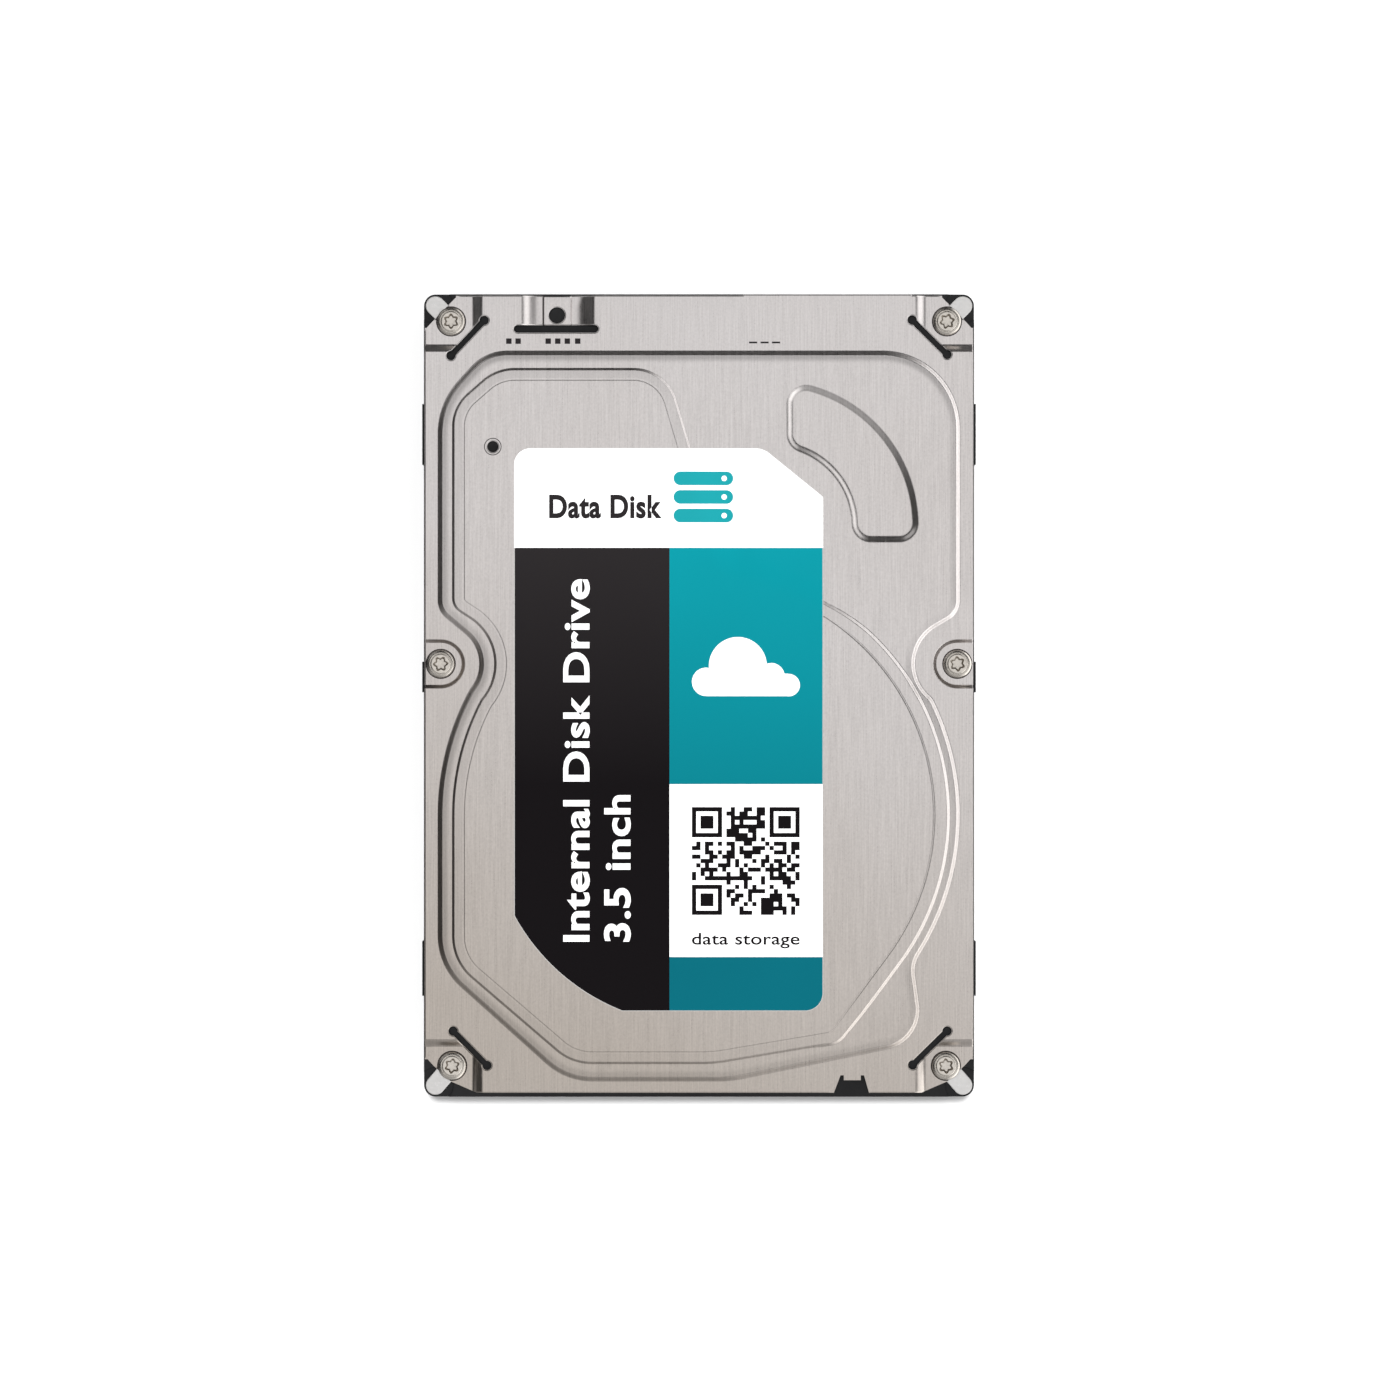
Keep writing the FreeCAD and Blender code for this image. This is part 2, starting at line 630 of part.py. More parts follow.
def stator_windings():
    coils = []
    for i in range(12):
        block = box(6.9, 9.1, -1.25, 1.25, 6.9, 12.1).cut(box(6, 10, -0.55, 0.55, 7.6, 11.4))
        block = turned(block, (0, 0), 30 * i)
        block.translate(FreeCAD.Vector(*SPINDLE, 0))
        coils.append(block)
    return group(coils)


def flex_strip(grow, bottom, top):
    """Flat run of the motor flex from the motor base to the board."""
    start = (SPINDLE[0] + 5.0, SPINDLE[1] + 7.0)
    return bar(start, (start[0], 0.0), 3.0 + grow, bottom, top)


def motor_flex():
    return flex_strip(0.0, BOARD_BOTTOM - 0.15, BOARD_BOTTOM)


def spindle_hub():
    hub_top = STACK_TOP + 0.1
    body = union([disc(SPINDLE, HUB_R, 6.1, hub_top), disc(SPINDLE, 15.5, 6.1, FIRST_DISK)])
    cuts = [disc(SPINDLE, 11.6, 6.0, 13.6), disc(SPINDLE, 4.0, 5, hub_top + 1)]
    for point in clamp_screw_points():
        cuts.append(disc(point, 0.9, hub_top - 4, hub_top + 1))
    return body.cut(group(cuts))


def clamp_screw_points():
    return [polar(SPINDLE, 8.6, 30 + 60 * i) for i in range(6)]


def bearing_sleeve():
    return ring(SPINDLE, SHAFT_R + RUNNING_GAP, 4.0, FLOOR + 0.4, STACK_TOP + 1.0)


def rotor_magnet():
    return ring(SPINDLE, 10.5, 11.6, 6.5, 13.0)


def disk_bottom(index):
    return FIRST_DISK + index * DISK_PITCH


def platter(index):
    body = ring(SPINDLE, DISK_BORE_R, DISK_R, disk_bottom(index), disk_bottom(index) + DISK_THICKNESS)
    rims = [e for e in body.Edges if abs(e.BoundBox.XLength - 2 * DISK_R) < 0.01]
    return body.makeChamfer(0.12, rims)


def disk_spacers():
    spacers = []
    for i in range(DISK_COUNT - 1):
        low = disk_bottom(i) + DISK_THICKNESS
        spacers.append(ring(SPINDLE, DISK_BORE_R, 15.0, low, disk_bottom(i + 1)))
    return group(spacers)


def disk_clamp():
    seat = STACK_TOP + 0.1
    body = disc(SPINDLE, 15.0, STACK_TOP, STACK_TOP + 1.5)
    cuts = [disc(SPINDLE, 13.2, STACK_TOP - 1, seat), disc(SPINDLE, 5.2, STACK_TOP - 1, STACK_TOP + 3)]
    cuts.append(ring(SPINDLE, 11.4, 12.8, STACK_TOP + 1.0, STACK_TOP + 3))
    for point in clamp_screw_points():
        cuts.append(disc(point, 1.0, STACK_TOP - 1, STACK_TOP + 3))
    for i in range(6):
        cuts.append(disc(polar(SPINDLE, 8.6, 60 * i), 0.8, STACK_TOP - 1, STACK_TOP + 3))
    return body.cut(group(cuts))


def clamp_screws():
    seat = STACK_TOP + 1.5
    return group([screw(p, 1.7, 0.9, seat, 1.1, seat - 4.0) for p in clamp_screw_points()])


# actuator

def arm_centre(index):
    return FIRST_ARM + index * DISK_PITCH


def e_block():
    bottom = arm_centre(0) - ARM_THICKNESS / 2
    top = arm_centre(ARM_COUNT - 1) + ARM_THICKNESS / 2
    shapes = [disc(PIVOT, BARREL_R, bottom, top)]
    flex_pad = [(*PIVOT, BARREL_R, LEFT)]
    for sign in (-1, 1):
        corner = polar(PIVOT, PAD_REACH, PAD_ANGLE + sign * PAD_HALF_ANGLE)
        flex_pad.append((*corner, PAD_CORNER, LEFT))
    shapes.append(prism(belt(flex_pad), bottom, top))
    tip = polar(PIVOT, ARM_REACH, ARM_ANGLE)
    near = polar(PIVOT, 13.5, ARM_ANGLE)
    far = polar(PIVOT, 24.0, ARM_ANGLE)
    window = prism(belt([(*near, 2.2, LEFT), (*far, 1.4, LEFT)]), 0, 30)
    for i in range(ARM_COUNT):
        low = arm_centre(i) - ARM_THICKNESS / 2
        arm = prism(belt([(*PIVOT, 5.6, LEFT), (*tip, 2.9, LEFT)]), low, low + ARM_THICKNESS)
        shapes.append(arm.cut(window))
    shapes += coil_fork(COIL_PLANE - FORK_HEIGHT / 2, COIL_PLANE + FORK_HEIGHT / 2)
    return union(shapes).cut(disc(PIVOT, SLEEVE_R, 0, 30))


def coil_fork(bottom, top):
    """The two tines that hold the coil."""
    tines = []
    for sign in (-1, 1):
        root = polar(PIVOT, 5.2, COIL_ANGLE + sign * 30)
        tip = polar(PIVOT, 15.5, COIL_ANGLE + sign * 17)
        tines.append(bar(root, tip, 1.2, bottom, top))
    return tines


def pivot_sleeve():
    top = arm_centre(ARM_COUNT - 1) + ARM_THICKNESS / 2
    return ring(PIVOT, BEARING_R, SLEEVE_R, FLOOR + 1.2, top + 0.5)


def pivot_bearings():
    top = arm_centre(ARM_COUNT - 1) + ARM_THICKNESS / 2
    spans = [(FLOOR + 1.4, FLOOR + 5.4), (top - 3.7, top + 0.3)]
    return group([ring(PIVOT, SHAFT_R + RUNNING_GAP, BEARING_R, a, b) for a, b in spans])


def pivot_shaft():
    flange = disc(PIVOT, 4.0, FLOOR + 0.7, FLOOR + 1.1)
    body = union([disc(PIVOT, SHAFT_R, BOARD_POCKET_TOP, POST_TOP), flange])
    return body.cut(disc(PIVOT, 1.3, POST_TOP - 4.5, POST_TOP + 1))


def voice_coil():
    low = COIL_PLANE - COIL_THICKNESS / 2
    high = COIL_PLANE + COIL_THICKNESS / 2
    outer = sector(PIVOT, 16.5, 26.0, COIL_ANGLE, COIL_HALF_ANGLE - 2.5, 2.4, low, high)
    window = sector(PIVOT, 19.6, 22.9, COIL_ANGLE, COIL_HALF_ANGLE - 10.5, 0.8, low - 1, high + 1)
    return outer.cut(window)


def coil_overmold():
    low = COIL_PLANE - COIL_THICKNESS / 2 + 0.1
    high = COIL_PLANE + COIL_THICKNESS / 2 - 0.1
    frame = sector(PIVOT, 14.6, 27.2, COIL_ANGLE, COIL_HALF_ANGLE, 2.6, low, high)
    peg = disc(polar(PIVOT, 27.0, COIL_ANGLE - COIL_HALF_ANGLE + 3.0), 1.0, low, high)
    coil_space = sector(PIVOT, 16.5, 26.0, COIL_ANGLE, COIL_HALF_ANGLE - 2.5, 2.4, low - 1, high + 1)
    return union([frame, peg]).cut(union([coil_space] + coil_fork(low - 1, high + 1)))


def beam_heights(index):
    """The faces of one arm that look at a disk and carry a thin beam: (height, direction)."""
    z = arm_centre(index)
    faces = []
    if index < ARM_COUNT - 1:
        faces.append((z + ARM_THICKNESS / 2, 1))
    if index > 0:
        faces.append((z - ARM_THICKNESS / 2, -1))
    return faces


def suspensions():
    root = polar(PIVOT, ARM_REACH - 2.0, ARM_ANGLE)
    head = polar(PIVOT, HEAD_REACH, ARM_ANGLE)
    lift_tab = polar(PIVOT, HEAD_REACH + 2.4, ARM_ANGLE)
    hole = disc(polar(PIVOT, ARM_REACH - 0.5, ARM_ANGLE), 0.9, 0, 30)
    beams = []
    for i in range(ARM_COUNT):
        for face, direction in beam_heights(i):
            low, high = sorted((face, face + direction * BEAM_THICKNESS))
            plate = prism(belt([(*root, 2.4, LEFT), (*head, 0.55, LEFT)]), low, high)
            beams.append(union([plate, bar(head, lift_tab, 0.35, low, high)]).cut(hole))
    return group(beams)


def head_sliders():
    sliders = []
    for i in range(ARM_COUNT):
        for face, direction in beam_heights(i):
            low, high = sorted((face + direction * BEAM_THICKNESS, face + direction * 0.5))
            x, y = polar(PIVOT, HEAD_REACH - 0.6, ARM_ANGLE)
            sliders.append(turned(box(x - 0.6, x + 0.6, y - 0.4, y + 0.4, low, high), (x, y), ARM_ANGLE))
    return group(sliders)


def preamp_chip():
    x, y = polar(polar(PIVOT, PAD_FACE + 0.42, PAD_ANGLE), 1.9, PAD_ANGLE + 90)
    block = box(x - 0.4, x + 0.4, y - 1.3, y + 1.3, 11.5, 15.5)
    return turned(block, (x, y), PAD_ANGLE)


# voice-coil motor, latch, stops, ramp and flex

def standoff_points():
    return [polar(PIVOT, STANDOFF_REACH, angle) for angle in STANDOFF_ANGLES]


def yoke(bottom):
    plate = sector(PIVOT, 13.0, 29.0, MOTOR_ANGLE, YOKE_HALF_ANGLE, 2.5, bottom, bottom + YOKE_THICKNESS)
    holes = [disc(p, 1.0, bottom - 1, bottom + YOKE_THICKNESS + 1) for p in standoff_points()]
    return plate.cut(group(holes))


def magnet(bottom):
    top = bottom + MAGNET_THICKNESS
    return sector(PIVOT, 14.2, 27.4, MOTOR_ANGLE, MAGNET_HALF_ANGLE, 1.0, bottom, top)


def vcm_standoffs():
    return group([ring(p, 1.0, 2.0, LOWER_YOKE_TOP, UPPER_YOKE_BOTTOM) for p in standoff_points()])


def vcm_screws():
    seat = UPPER_YOKE_BOTTOM + YOKE_THICKNESS
    tip = LOWER_YOKE_TOP - YOKE_THICKNESS + 0.1
    return group([screw(p, 2.0, 1.0, seat, 1.0, tip) for p in standoff_points()])


def crash_stops():
    lean = COIL_HALF_ANGLE + SWING / 2 + 6.2
    points = [polar(PIVOT, 20.0, MOTOR_ANGLE + sign * lean) for sign in (-1, 1)]
    return group([ring(p, 0.6, 1.5, LOWER_YOKE_TOP, UPPER_YOKE_BOTTOM) for p in points])


def latch_lever():
    hook = polar(PIVOT, 28.3, COIL_ANGLE - COIL_HALF_ANGLE - 2.0)
    tail = (LATCH_PIN[0] + 4.5, LATCH_PIN[1] + 1.6)
    low = COIL_PLANE - 1.0
    high = COIL_PLANE + 1.0
    arms = [bar(LATCH_PIN, hook, 0.9, low, high), bar(LATCH_PIN, tail, 1.3, low, high)]
    bore = disc(LATCH_PIN, 1.0 + RUNNING_GAP, low - 1, high + 1)
    lever = union([disc(LATCH_PIN, 2.2, low, high)] + arms).cut(bore)
    return turned(lever, LATCH_PIN, -LATCH_OPENING)


def latch_pin():
    low = COIL_PLANE - 1.6
    pin = disc(LATCH_PIN, 1.0, low, COIL_PLANE + 1.2)
    return union([pin, disc(LATCH_PIN, 1.6, COIL_PLANE + 1.2, COIL_PLANE + 1.6)])


def parking_ramp():
    reach = HEAD_REACH + 0.7
    shapes = []
    for i in range(DISK_COUNT):
        middle = disk_bottom(i) + DISK_THICKNESS / 2
        finger = sector(PIVOT, reach, reach + 7.0, ARM_ANGLE + 2.5, 4.2, 0.4, middle - 1.0, middle + 1.0)
        shapes.append(finger.cut(disc(SPINDLE, DISK_R + 0.4, 0, 30)))
    top = disk_bottom(DISK_COUNT - 1) + 2.6
    spine = sector(PIVOT, reach + 2.6, reach + 7.4, ARM_ANGLE + 3.0, 4.6, 0.6, FLOOR, top)
    shapes.append(spine.cut(disc(SPINDLE, DISK_R + 0.4, 0, 30)))
    shapes.append(bar(polar(PIVOT, reach + 5.2, ARM_ANGLE + 4.0), RAMP_FOOT, 2.6, FLOOR, FLOOR + 2.2))
    return union(shapes).cut(disc(RAMP_FOOT, 1.0, 0, 30))


def ramp_screw():
    return screw(RAMP_FOOT, 1.9, 1.0, FLOOR + 2.2, 1.0, FLOOR + 0.1)


def flex_bracket():
    plate = prism(belt(rounded_rectangle(2.0, 18.0, 38.5, 52.0, 1.5)), FLOOR, FLOOR + 1.2)
    wall = box(2.0, 3.2, 40.5, 50.0, FLOOR, 18.5)
    rib = polygon([(3.2, 44.0), (8.0, 44.0), (8.0, 45.2), (3.2, 45.2)], FLOOR, 9.0)
    holes = [disc(p, 1.0, 0, 30) for p in bracket_screw_points()]
    return union([plate, wall, rib]).cut(group(holes))


def bracket_screw_points():
    return [(14.8, 41.2), (14.8, 49.6)]


def flex_bracket_screws():
    return group([screw(p, 1.8, 1.0, FLOOR + 1.2, 0.9, FLOOR + 0.05) for p in bracket_screw_points()])


def bulkhead_connector():
    x, y = BULKHEAD
    body = box(x - 5, x + 5, y - 2.5, y + 2.5, BOARD_TOP, FLOOR)
    slots = []
    for i in range(9):
        left = x - 4.2 + 0.95 * i
        slots.append(box(left, left + 0.3, y - 1.8, y + 1.8, FLOOR - 0.6, FLOOR + 1))
    return body.cut(group(slots))


def actuator_flex():
    """Ribbon on edge that leaves the actuator's pad, bends round and climbs the bracket's wall."""
    half = 0.1
    wall = 2.0 - half
    heading = math.radians(PAD_ANGLE - 90)
    foot = polar(PIVOT, PAD_FACE + half + 0.02, PAD_ANGLE)
    bend = (foot[0] + 0.5 * math.cos(heading), foot[1] + 0.5 * math.sin(heading))
    r = (wall - bend[0]) / (1 - math.sin(heading))
    centre = (bend[0] - r * math.sin(heading), bend[1] + r * math.cos(heading))
    outline = [
        (*foot, half, LEFT),
        (*centre, r + half, LEFT),
        (wall, 49.5, half, LEFT),
        (*centre, r - half, RIGHT),
    ]
    return prism(belt(outline), 8.5, 17.5)


# circuit board

def circuit_board():
    board = prism(belt(rounded_rectangle(-46.0, 46.0, -14.4, 68.4, 1.5)), BOARD_BOTTOM, BOARD_TOP)
    cuts = [disc(SPINDLE, MOTOR_BASE_R + 2.8, 0, 3)]
    for point in bottom_hole_points():
        cuts.append(disc(point, 4.5, 0, 3))
    for point in BOARD_SCREWS:
        cuts.append(disc(point, 1.3, 0, 3))
    reach = CONNECTOR_WIDTH / 2 + 0.3
    cuts.append(box(CONNECTOR_X - reach, CONNECTOR_X + reach, 67.0, 70, 0, 3))
    return board.cut(group(cuts))


def board_insulator():
    sheet = prism(belt(rounded_rectangle(-38.0, 38.0, -4.0, 60.0, 2.0)), 3.2, BOARD_POCKET_TOP)
    cuts = [disc(SPINDLE, MOTOR_BASE_R + 5, 2, 5), box(3, 17, 42, 50, 2, 5), disc(PIVOT, 4, 2, 5)]
    return sheet.cut(group(cuts))


def chip(x, y, size_x, size_y, height):
    block = box(-size_x / 2, size_x / 2, -size_y / 2, size_y / 2, BOARD_TOP, BOARD_TOP + height)
    block.translate(FreeCAD.Vector(x, y, 0))
    return block


def small_components():
    parts = []
    for i in range(9):
        parts.append(chip(-36.0 + 4.0 * i, 55.0, 2.0, 1.25, 0.9))
        parts.append(chip(-36.0 + 4.0 * i, 51.0, 1.6, 0.8, 0.6))
    for i in range(6):
        parts.append(chip(30.0, 0.0 + 4.4 * i, 3.2, 2.5, 1.2))
        parts.append(chip(36.0, 1.0 + 4.4 * i, 1.6, 0.8, 0.6))
    for i in range(5):
        parts.append(chip(-34.0, -4.0 + 4.0 * i, 2.0, 1.25, 0.9))
    return group(parts)


def board_screws():
    screws = []
    for point in BOARD_SCREWS:
        piece = screw(point, 2.0, 1.1, 0, 0.7, -3.4, 0.4)
        piece.rotate(FreeCAD.Vector(*point, 0), FreeCAD.Vector(1, 0, 0), 180)
        piece.translate(FreeCAD.Vector(0, 0, BOARD_BOTTOM))
        screws.append(piece)
    return group(screws)


def connector_left():
    return CONNECTOR_X - CONNECTOR_WIDTH / 2


def sata_housing():
    x0 = connector_left()
    x1 = x0 + CONNECTOR_WIDTH
    body = box(x0, x1, CONNECTOR_BACK, CONNECTOR_FRONT, BOARD_TOP, 7.2)
    hollow = box(x0 + 1.2, x0 + 37.2, CONNECTOR_BACK + 1.6, CONNECTOR_FRONT + 1, 2.6, 6.4)
    side_hollow = box(x0 + 38.4, x1 - 1.0, CONNECTOR_BACK + 1.6, CONNECTOR_FRONT + 1, 2.8, 6.2)
    shapes = [body.cut(group([hollow, side_hollow]))]
    back = CONNECTOR_BACK + 1
    front = CONNECTOR_FRONT - 0.4
    for low, high in (SIGNAL_SPAN, POWER_SPAN):
        shapes.append(box(x0 + low, x0 + high, back, front, TONGUE_LOW, TONGUE_HIGH))
        shapes.append(box(x0 + low, x0 + low + 1.2, back, front, 2.9, TONGUE_HIGH))
    return union(shapes)


def sata_contacts():
    x0 = connector_left()
    contacts = []
    back = CONNECTOR_BACK + 1.6
    front = CONNECTOR_FRONT - 0.8
    for count, first in CONTACT_GROUPS:
        for i in range(count):
            x = x0 + first + CONTACT_PITCH * i
            contacts.append(box(x - 0.35, x + 0.35, back, front, TONGUE_LOW - 0.12, TONGUE_LOW))
    return group(contacts)


def diagnostic_pins():
    x0 = connector_left() + 38.9
    pins = []
    for column in range(2):
        for row in range(2):
            x = x0 + 0.25 + 1.3 * column
            z = 3.5 + 1.4 * row
            pins.append(box(x, x + 0.4, CONNECTOR_BACK + 1.6, CONNECTOR_FRONT - 1.2, z, z + 0.4))
    return group(pins)


def nodes():
    body = cover_body()
    parts = {
        "base_casting": base_casting(),
        "top_cover": top_cover(body),
        "label": label(body),
        "cover_gasket": cover_gasket(),
        "cover_screws": cover_screws(),
        "shaft_screws": shaft_screws(),
        "breather_filter": breather_filter(),
        "recirculation_filter": recirculation_filter(),
        "desiccant_pack": desiccant_pack(),
        "motor_base": motor_base(),
        "spindle_shaft": spindle_shaft(),
        "stator_core": stator_core(),
        "stator_windings": stator_windings(),
        "motor_flex": motor_flex(),
        "spindle_hub": spindle_hub(),
        "bearing_sleeve": bearing_sleeve(),
        "rotor_magnet": rotor_magnet(),
        "disk_spacers": disk_spacers(),
        "disk_clamp": disk_clamp(),
        "clamp_screws": clamp_screws(),
        "e_block": e_block(),
        "pivot_sleeve": pivot_sleeve(),
        "pivot_bearings": pivot_bearings(),
        "pivot_shaft": pivot_shaft(),
        "voice_coil": voice_coil(),
        "coil_overmold": coil_overmold(),
        "suspensions": suspensions(),
        "head_sliders": head_sliders(),
        "preamp_chip": preamp_chip(),
        "vcm_bottom_yoke": yoke(LOWER_YOKE_TOP - YOKE_THICKNESS),
        "vcm_top_yoke": yoke(UPPER_YOKE_BOTTOM),
        "vcm_lower_magnet": magnet(LOWER_YOKE_TOP),
        "vcm_upper_magnet": magnet(UPPER_MAGNET_BOTTOM),
        "vcm_standoffs": vcm_standoffs(),
        "vcm_screws": vcm_screws(),
        "crash_stops": crash_stops(),
        "latch_lever": latch_lever(),
        "latch_pin": latch_pin(),
        "parking_ramp": parking_ramp(),
        "ramp_screw": ramp_screw(),
        "flex_bracket": flex_bracket(),
        "flex_bracket_screws": flex_bracket_screws(),
        "bulkhead_connector": bulkhead_connector(),
        "actuator_flex": actuator_flex(),
        "circuit_board": circuit_board(),
        "board_insulator": board_insulator(),
        "controller_chip": chip(4.0, 18.0, 14.0, 14.0, 1.2),
        "memory_chip": chip(-14.0, 14.0, 8.0, 11.0, 1.1),
        "motor_driver_chip": chip(20.0, 30.0, 9.0, 9.0, 1.0),
        "flash_chip": chip(-26.0, 32.0, 6.0, 5.0, 1.1),
        "small_components": small_components(),
        "board_screws": board_screws(),
        "sata_housing": sata_housing(),
        "sata_contacts": sata_contacts(),
        "diagnostic_pins": diagnostic_pins(),
    }
    for i in range(DISK_COUNT):
        parts[f"platter_{i + 1}"] = platter(i)
    return parts


os.makedirs("parts", exist_ok=True)
for name, shape in nodes().items():
    shape.exportStep(f"parts/{name}.step")
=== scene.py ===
import json
import math
import random

import bpy
import numpy as np
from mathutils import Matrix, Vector
from mathutils.geometry import delaunay_2d_cdt


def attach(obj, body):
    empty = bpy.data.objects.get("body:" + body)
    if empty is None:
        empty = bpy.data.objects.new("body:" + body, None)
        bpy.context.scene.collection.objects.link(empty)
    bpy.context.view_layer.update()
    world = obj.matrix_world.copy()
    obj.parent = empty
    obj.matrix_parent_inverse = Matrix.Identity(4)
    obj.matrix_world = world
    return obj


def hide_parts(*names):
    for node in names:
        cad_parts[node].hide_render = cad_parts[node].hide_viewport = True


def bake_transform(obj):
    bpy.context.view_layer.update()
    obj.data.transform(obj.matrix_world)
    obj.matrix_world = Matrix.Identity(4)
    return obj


# Looks of a 3.5-inch hard disk drive. Shapes are drawn in millimetres, in the CAD frame:
# X across the drive, +Y to the connector end, +Z up through the cover.
MM = 0.001
LEFT = 1
RIGHT = -1
# how many points are measured at a time, to save memory
BATCH = 2000

# heights
RIM = 22.7
SHEET = 0.8
TAB_TOP = 23.5
FLANGE_TOP = 24.5
STEP_TOP = 25.4
PLATEAU_EDGE = 25.8
PLATEAU_TOP = 26.0
KIDNEY_DROP = 0.6
SHOULDER = 0.3
BOSS_RISE = 0.35
DIMPLE_DROP = 1.0
CREASE = 0.035
ROLLOVER_DROP = 0.1
FILM = 0.1

# pressed edges: widths of those centred on their outline, then start and width of the others
STEP_RUN = 0.95
KIDNEY_RUN = 1.5
SHOULDER_EDGE = (0.4, 2.4)
SEAT_EDGE = (0.55, 0.75)
BOSS_EDGE = (0.3, 0.4)
DIMPLE_EDGE = (0.4, 0.8)
CHANNEL_EDGE = (0.8, 2.3)
PLATEAU_LIP = (0.1, 0.52)
PLATEAU_SLOPE = (-0.35, 1.95)
CREASE_INSET = 2.1
CREASE_HALF_WIDTH = 0.28
ROLLOVER = 0.22
LABEL_BRIDGE = (4.0, 6.3)

# towards +X, over the disks, the plateau's edge is taller, wider and further out
DISKS_FROM = 20.0
DISKS_FADE = 12.0
DISKS_LIP_RISE = 0.12
DISKS_LIP_SHIFT = 0.8
DISKS_LIP_RUN = 0.26
DISKS_SLOPE_SHIFT = 0.54
DISKS_CREASE = 0.9

# radii, and the width of the painted shadow round a screw's head
SCREW_HOLE_R = 1.8
SHAFT_HOLE_R = 1.4
SLOT_R = 0.55
SLOT_END_R = 0.85
TONGUE_SLOT_R = 0.7
TONGUE_HOLE_R = 1.5
BREATHER_R = 1.05
BREATHER_RING = (1.45, 1.6)
SEAT_R = 4.0
DIMPLE_R = 5.0
PAD_R = 3.28
HEAD_R = 2.6
PAINTED_SHADOW_WIDTH = 0.16

# places
SPINDLE = (0.0, -21.85)
PIVOT = (-17.0, 31.0)
CORNER_SCREWS = [(45.4, 68.5), (-45.4, 68.5), (-45.2, -67.8), (45.2, -67.8)]
MIDDLE_SCREWS = [(47.3, 5.8), (-47.3, 5.8)]
LOBES = [(48.3, 71.4), (-48.3, 71.4), (-48.3, -71.4), (48.3, -71.4)]
RELIEF_SLOTS = [
    ((39.0, 68.75), (45.4, 62.4)),
    ((-39.3, 68.65), (-45.4, 62.2)),
    ((-45.0, -61.4), (-38.8, -67.7)),
    ((45.4, -61.4), (39.1, -67.6)),
]
TAB_BENDS = [(39.4, 62.8), (41.7, 64.4)]
# outline of the notch round each corner pad, measured outwards from its screw
UPPER_NOTCH = [(0.2, 3.3), (-0.9, 4.4), (-0.9, 9.0), (9.0, 9.0), (9.0, -1.2), (4.5, -1.2), (3.4, 0.0)]
LOWER_NOTCH = [
    (0.2, 2.9), (-1.0, 3.4), (-4.9, 5.1), (-4.9, 9.0), (9.0, 9.0), (9.0, -1.2), (4.5, -1.2), (3.4, 0.0),
]
COVER_BOTTOM = -72.7
# left, right, bottom, top and corner radius
COVER_EDGES = [(-50.2, 50.2, COVER_BOTTOM, 73.2, 0.8), (8.0, 39.0, 60.0, 73.4, 0.1)]
CHANNEL_SIDES = (-31.9, -19.7)
CHANNEL_START = 67.1
CHANNEL_PAD = (-28.4, -23.5, 67.0, 73.0, 0.2)
TONGUE_SLOT = ((-33.2, 67.1), (-19.1, 67.1))
TONGUE_HOLE = (-26.0, 69.6)
BREATHER = (-37.7, 45.5)
# past the cover's edges, where the lines of its mesh may end
PAST_SIDE = 52
PAST_END = 76

# label: edges of the printed areas, the square pattern and the header's slabs
HEADER_BOTTOM = 27.0
PANEL_SPLIT = -5.4
TEAL_BOTTOM = -16.2
CODE_BOTTOM = -47.8
LABEL_MARGIN = 0.12
LABEL_LEFT = -33.8
LABEL_BOTTOM = -57.7
CODE_CORNER = (-1.3, -40.1)
CODE_CELLS = 25
CODE_SIZE = 19.7
SLAB_LEVELS = (32.9, 36.3, 39.7)
WHITE, BLACK, TEAL, DEEP_TEAL, MARGIN, STACK = range(6)
FONT_CAPITAL = 0.75

# actuator ribbon
RIBBON_PAD_ANGLE = 39.1
RIBBON_PAD_REACH = 8.71
RIBBON_WALL_X = 1.9
RIBBON_WALL_END = 49.5
RIBBON_HALF_THICKNESS = 0.09
RIBBON_LEVELS = (8.5, 9.2, 11.0, 13.0, 15.0, 16.8, 17.5)

# studio
FLOOR_LEVEL = -0.02
FLOOR_RADII = (9000.0, 2000.0, 400.0)
KEY_ENERGY = 3.0
KEY_SPREAD = 3.8
KEY_FROM = (0.0, 0.095, 1.0)
CAMERA_PLACE = (0.00018, -0.00082, 1.526)
CAMERA_LENS = 211.0
CAMERA_SENSOR = 36.0

# light of the surroundings, as places on a ramp and their levels: a height is the Z of the direction, and
# a turn goes from 0 at -X through -Y, +X and +Y to 1 at -X
OVERHEAD_LEVEL = 1.12
OVERHEAD_HEIGHT = [(0.83, 0.0), (0.95, 1.0)]
SIDE_LEVEL = 2.4
SIDE_TURN = [
    (0.0, 0.02), (0.06, 0.06), (0.125, 0.18), (0.25, 0.20), (0.38, 0.9),
    (0.5, 0.8), (0.64, 0.7), (0.70, 0.1), (0.75, 0.02), (1.0, 0.02),
]
SIDE_HEIGHT = [(0.0, 1.0), (0.42, 1.0), (0.62, 0.05), (0.75, 0.0)]
FRONT_TURN = [(0.04, 0.0), (0.13, 0.42), (0.26, 0.42), (0.34, 0.0)]
RIGHT_TURN = [(0.26, 0.0), (0.34, 0.85), (0.42, 0.85), (0.51, 0.3), (0.56, 0.0)]
FRONT_RIGHT_HEIGHT = [(0.35, 0.0), (0.55, 1.0), (0.86, 1.0), (0.93, 0.0)]
BACK_TURN = [(0.77, 0.0), (0.84, 0.9), (0.91, 0.9), (0.98, 0.0)]
BACK_HEIGHT = [(0.20, 0.0), (0.35, 1.0), (0.50, 1.0), (0.64, 0.0)]

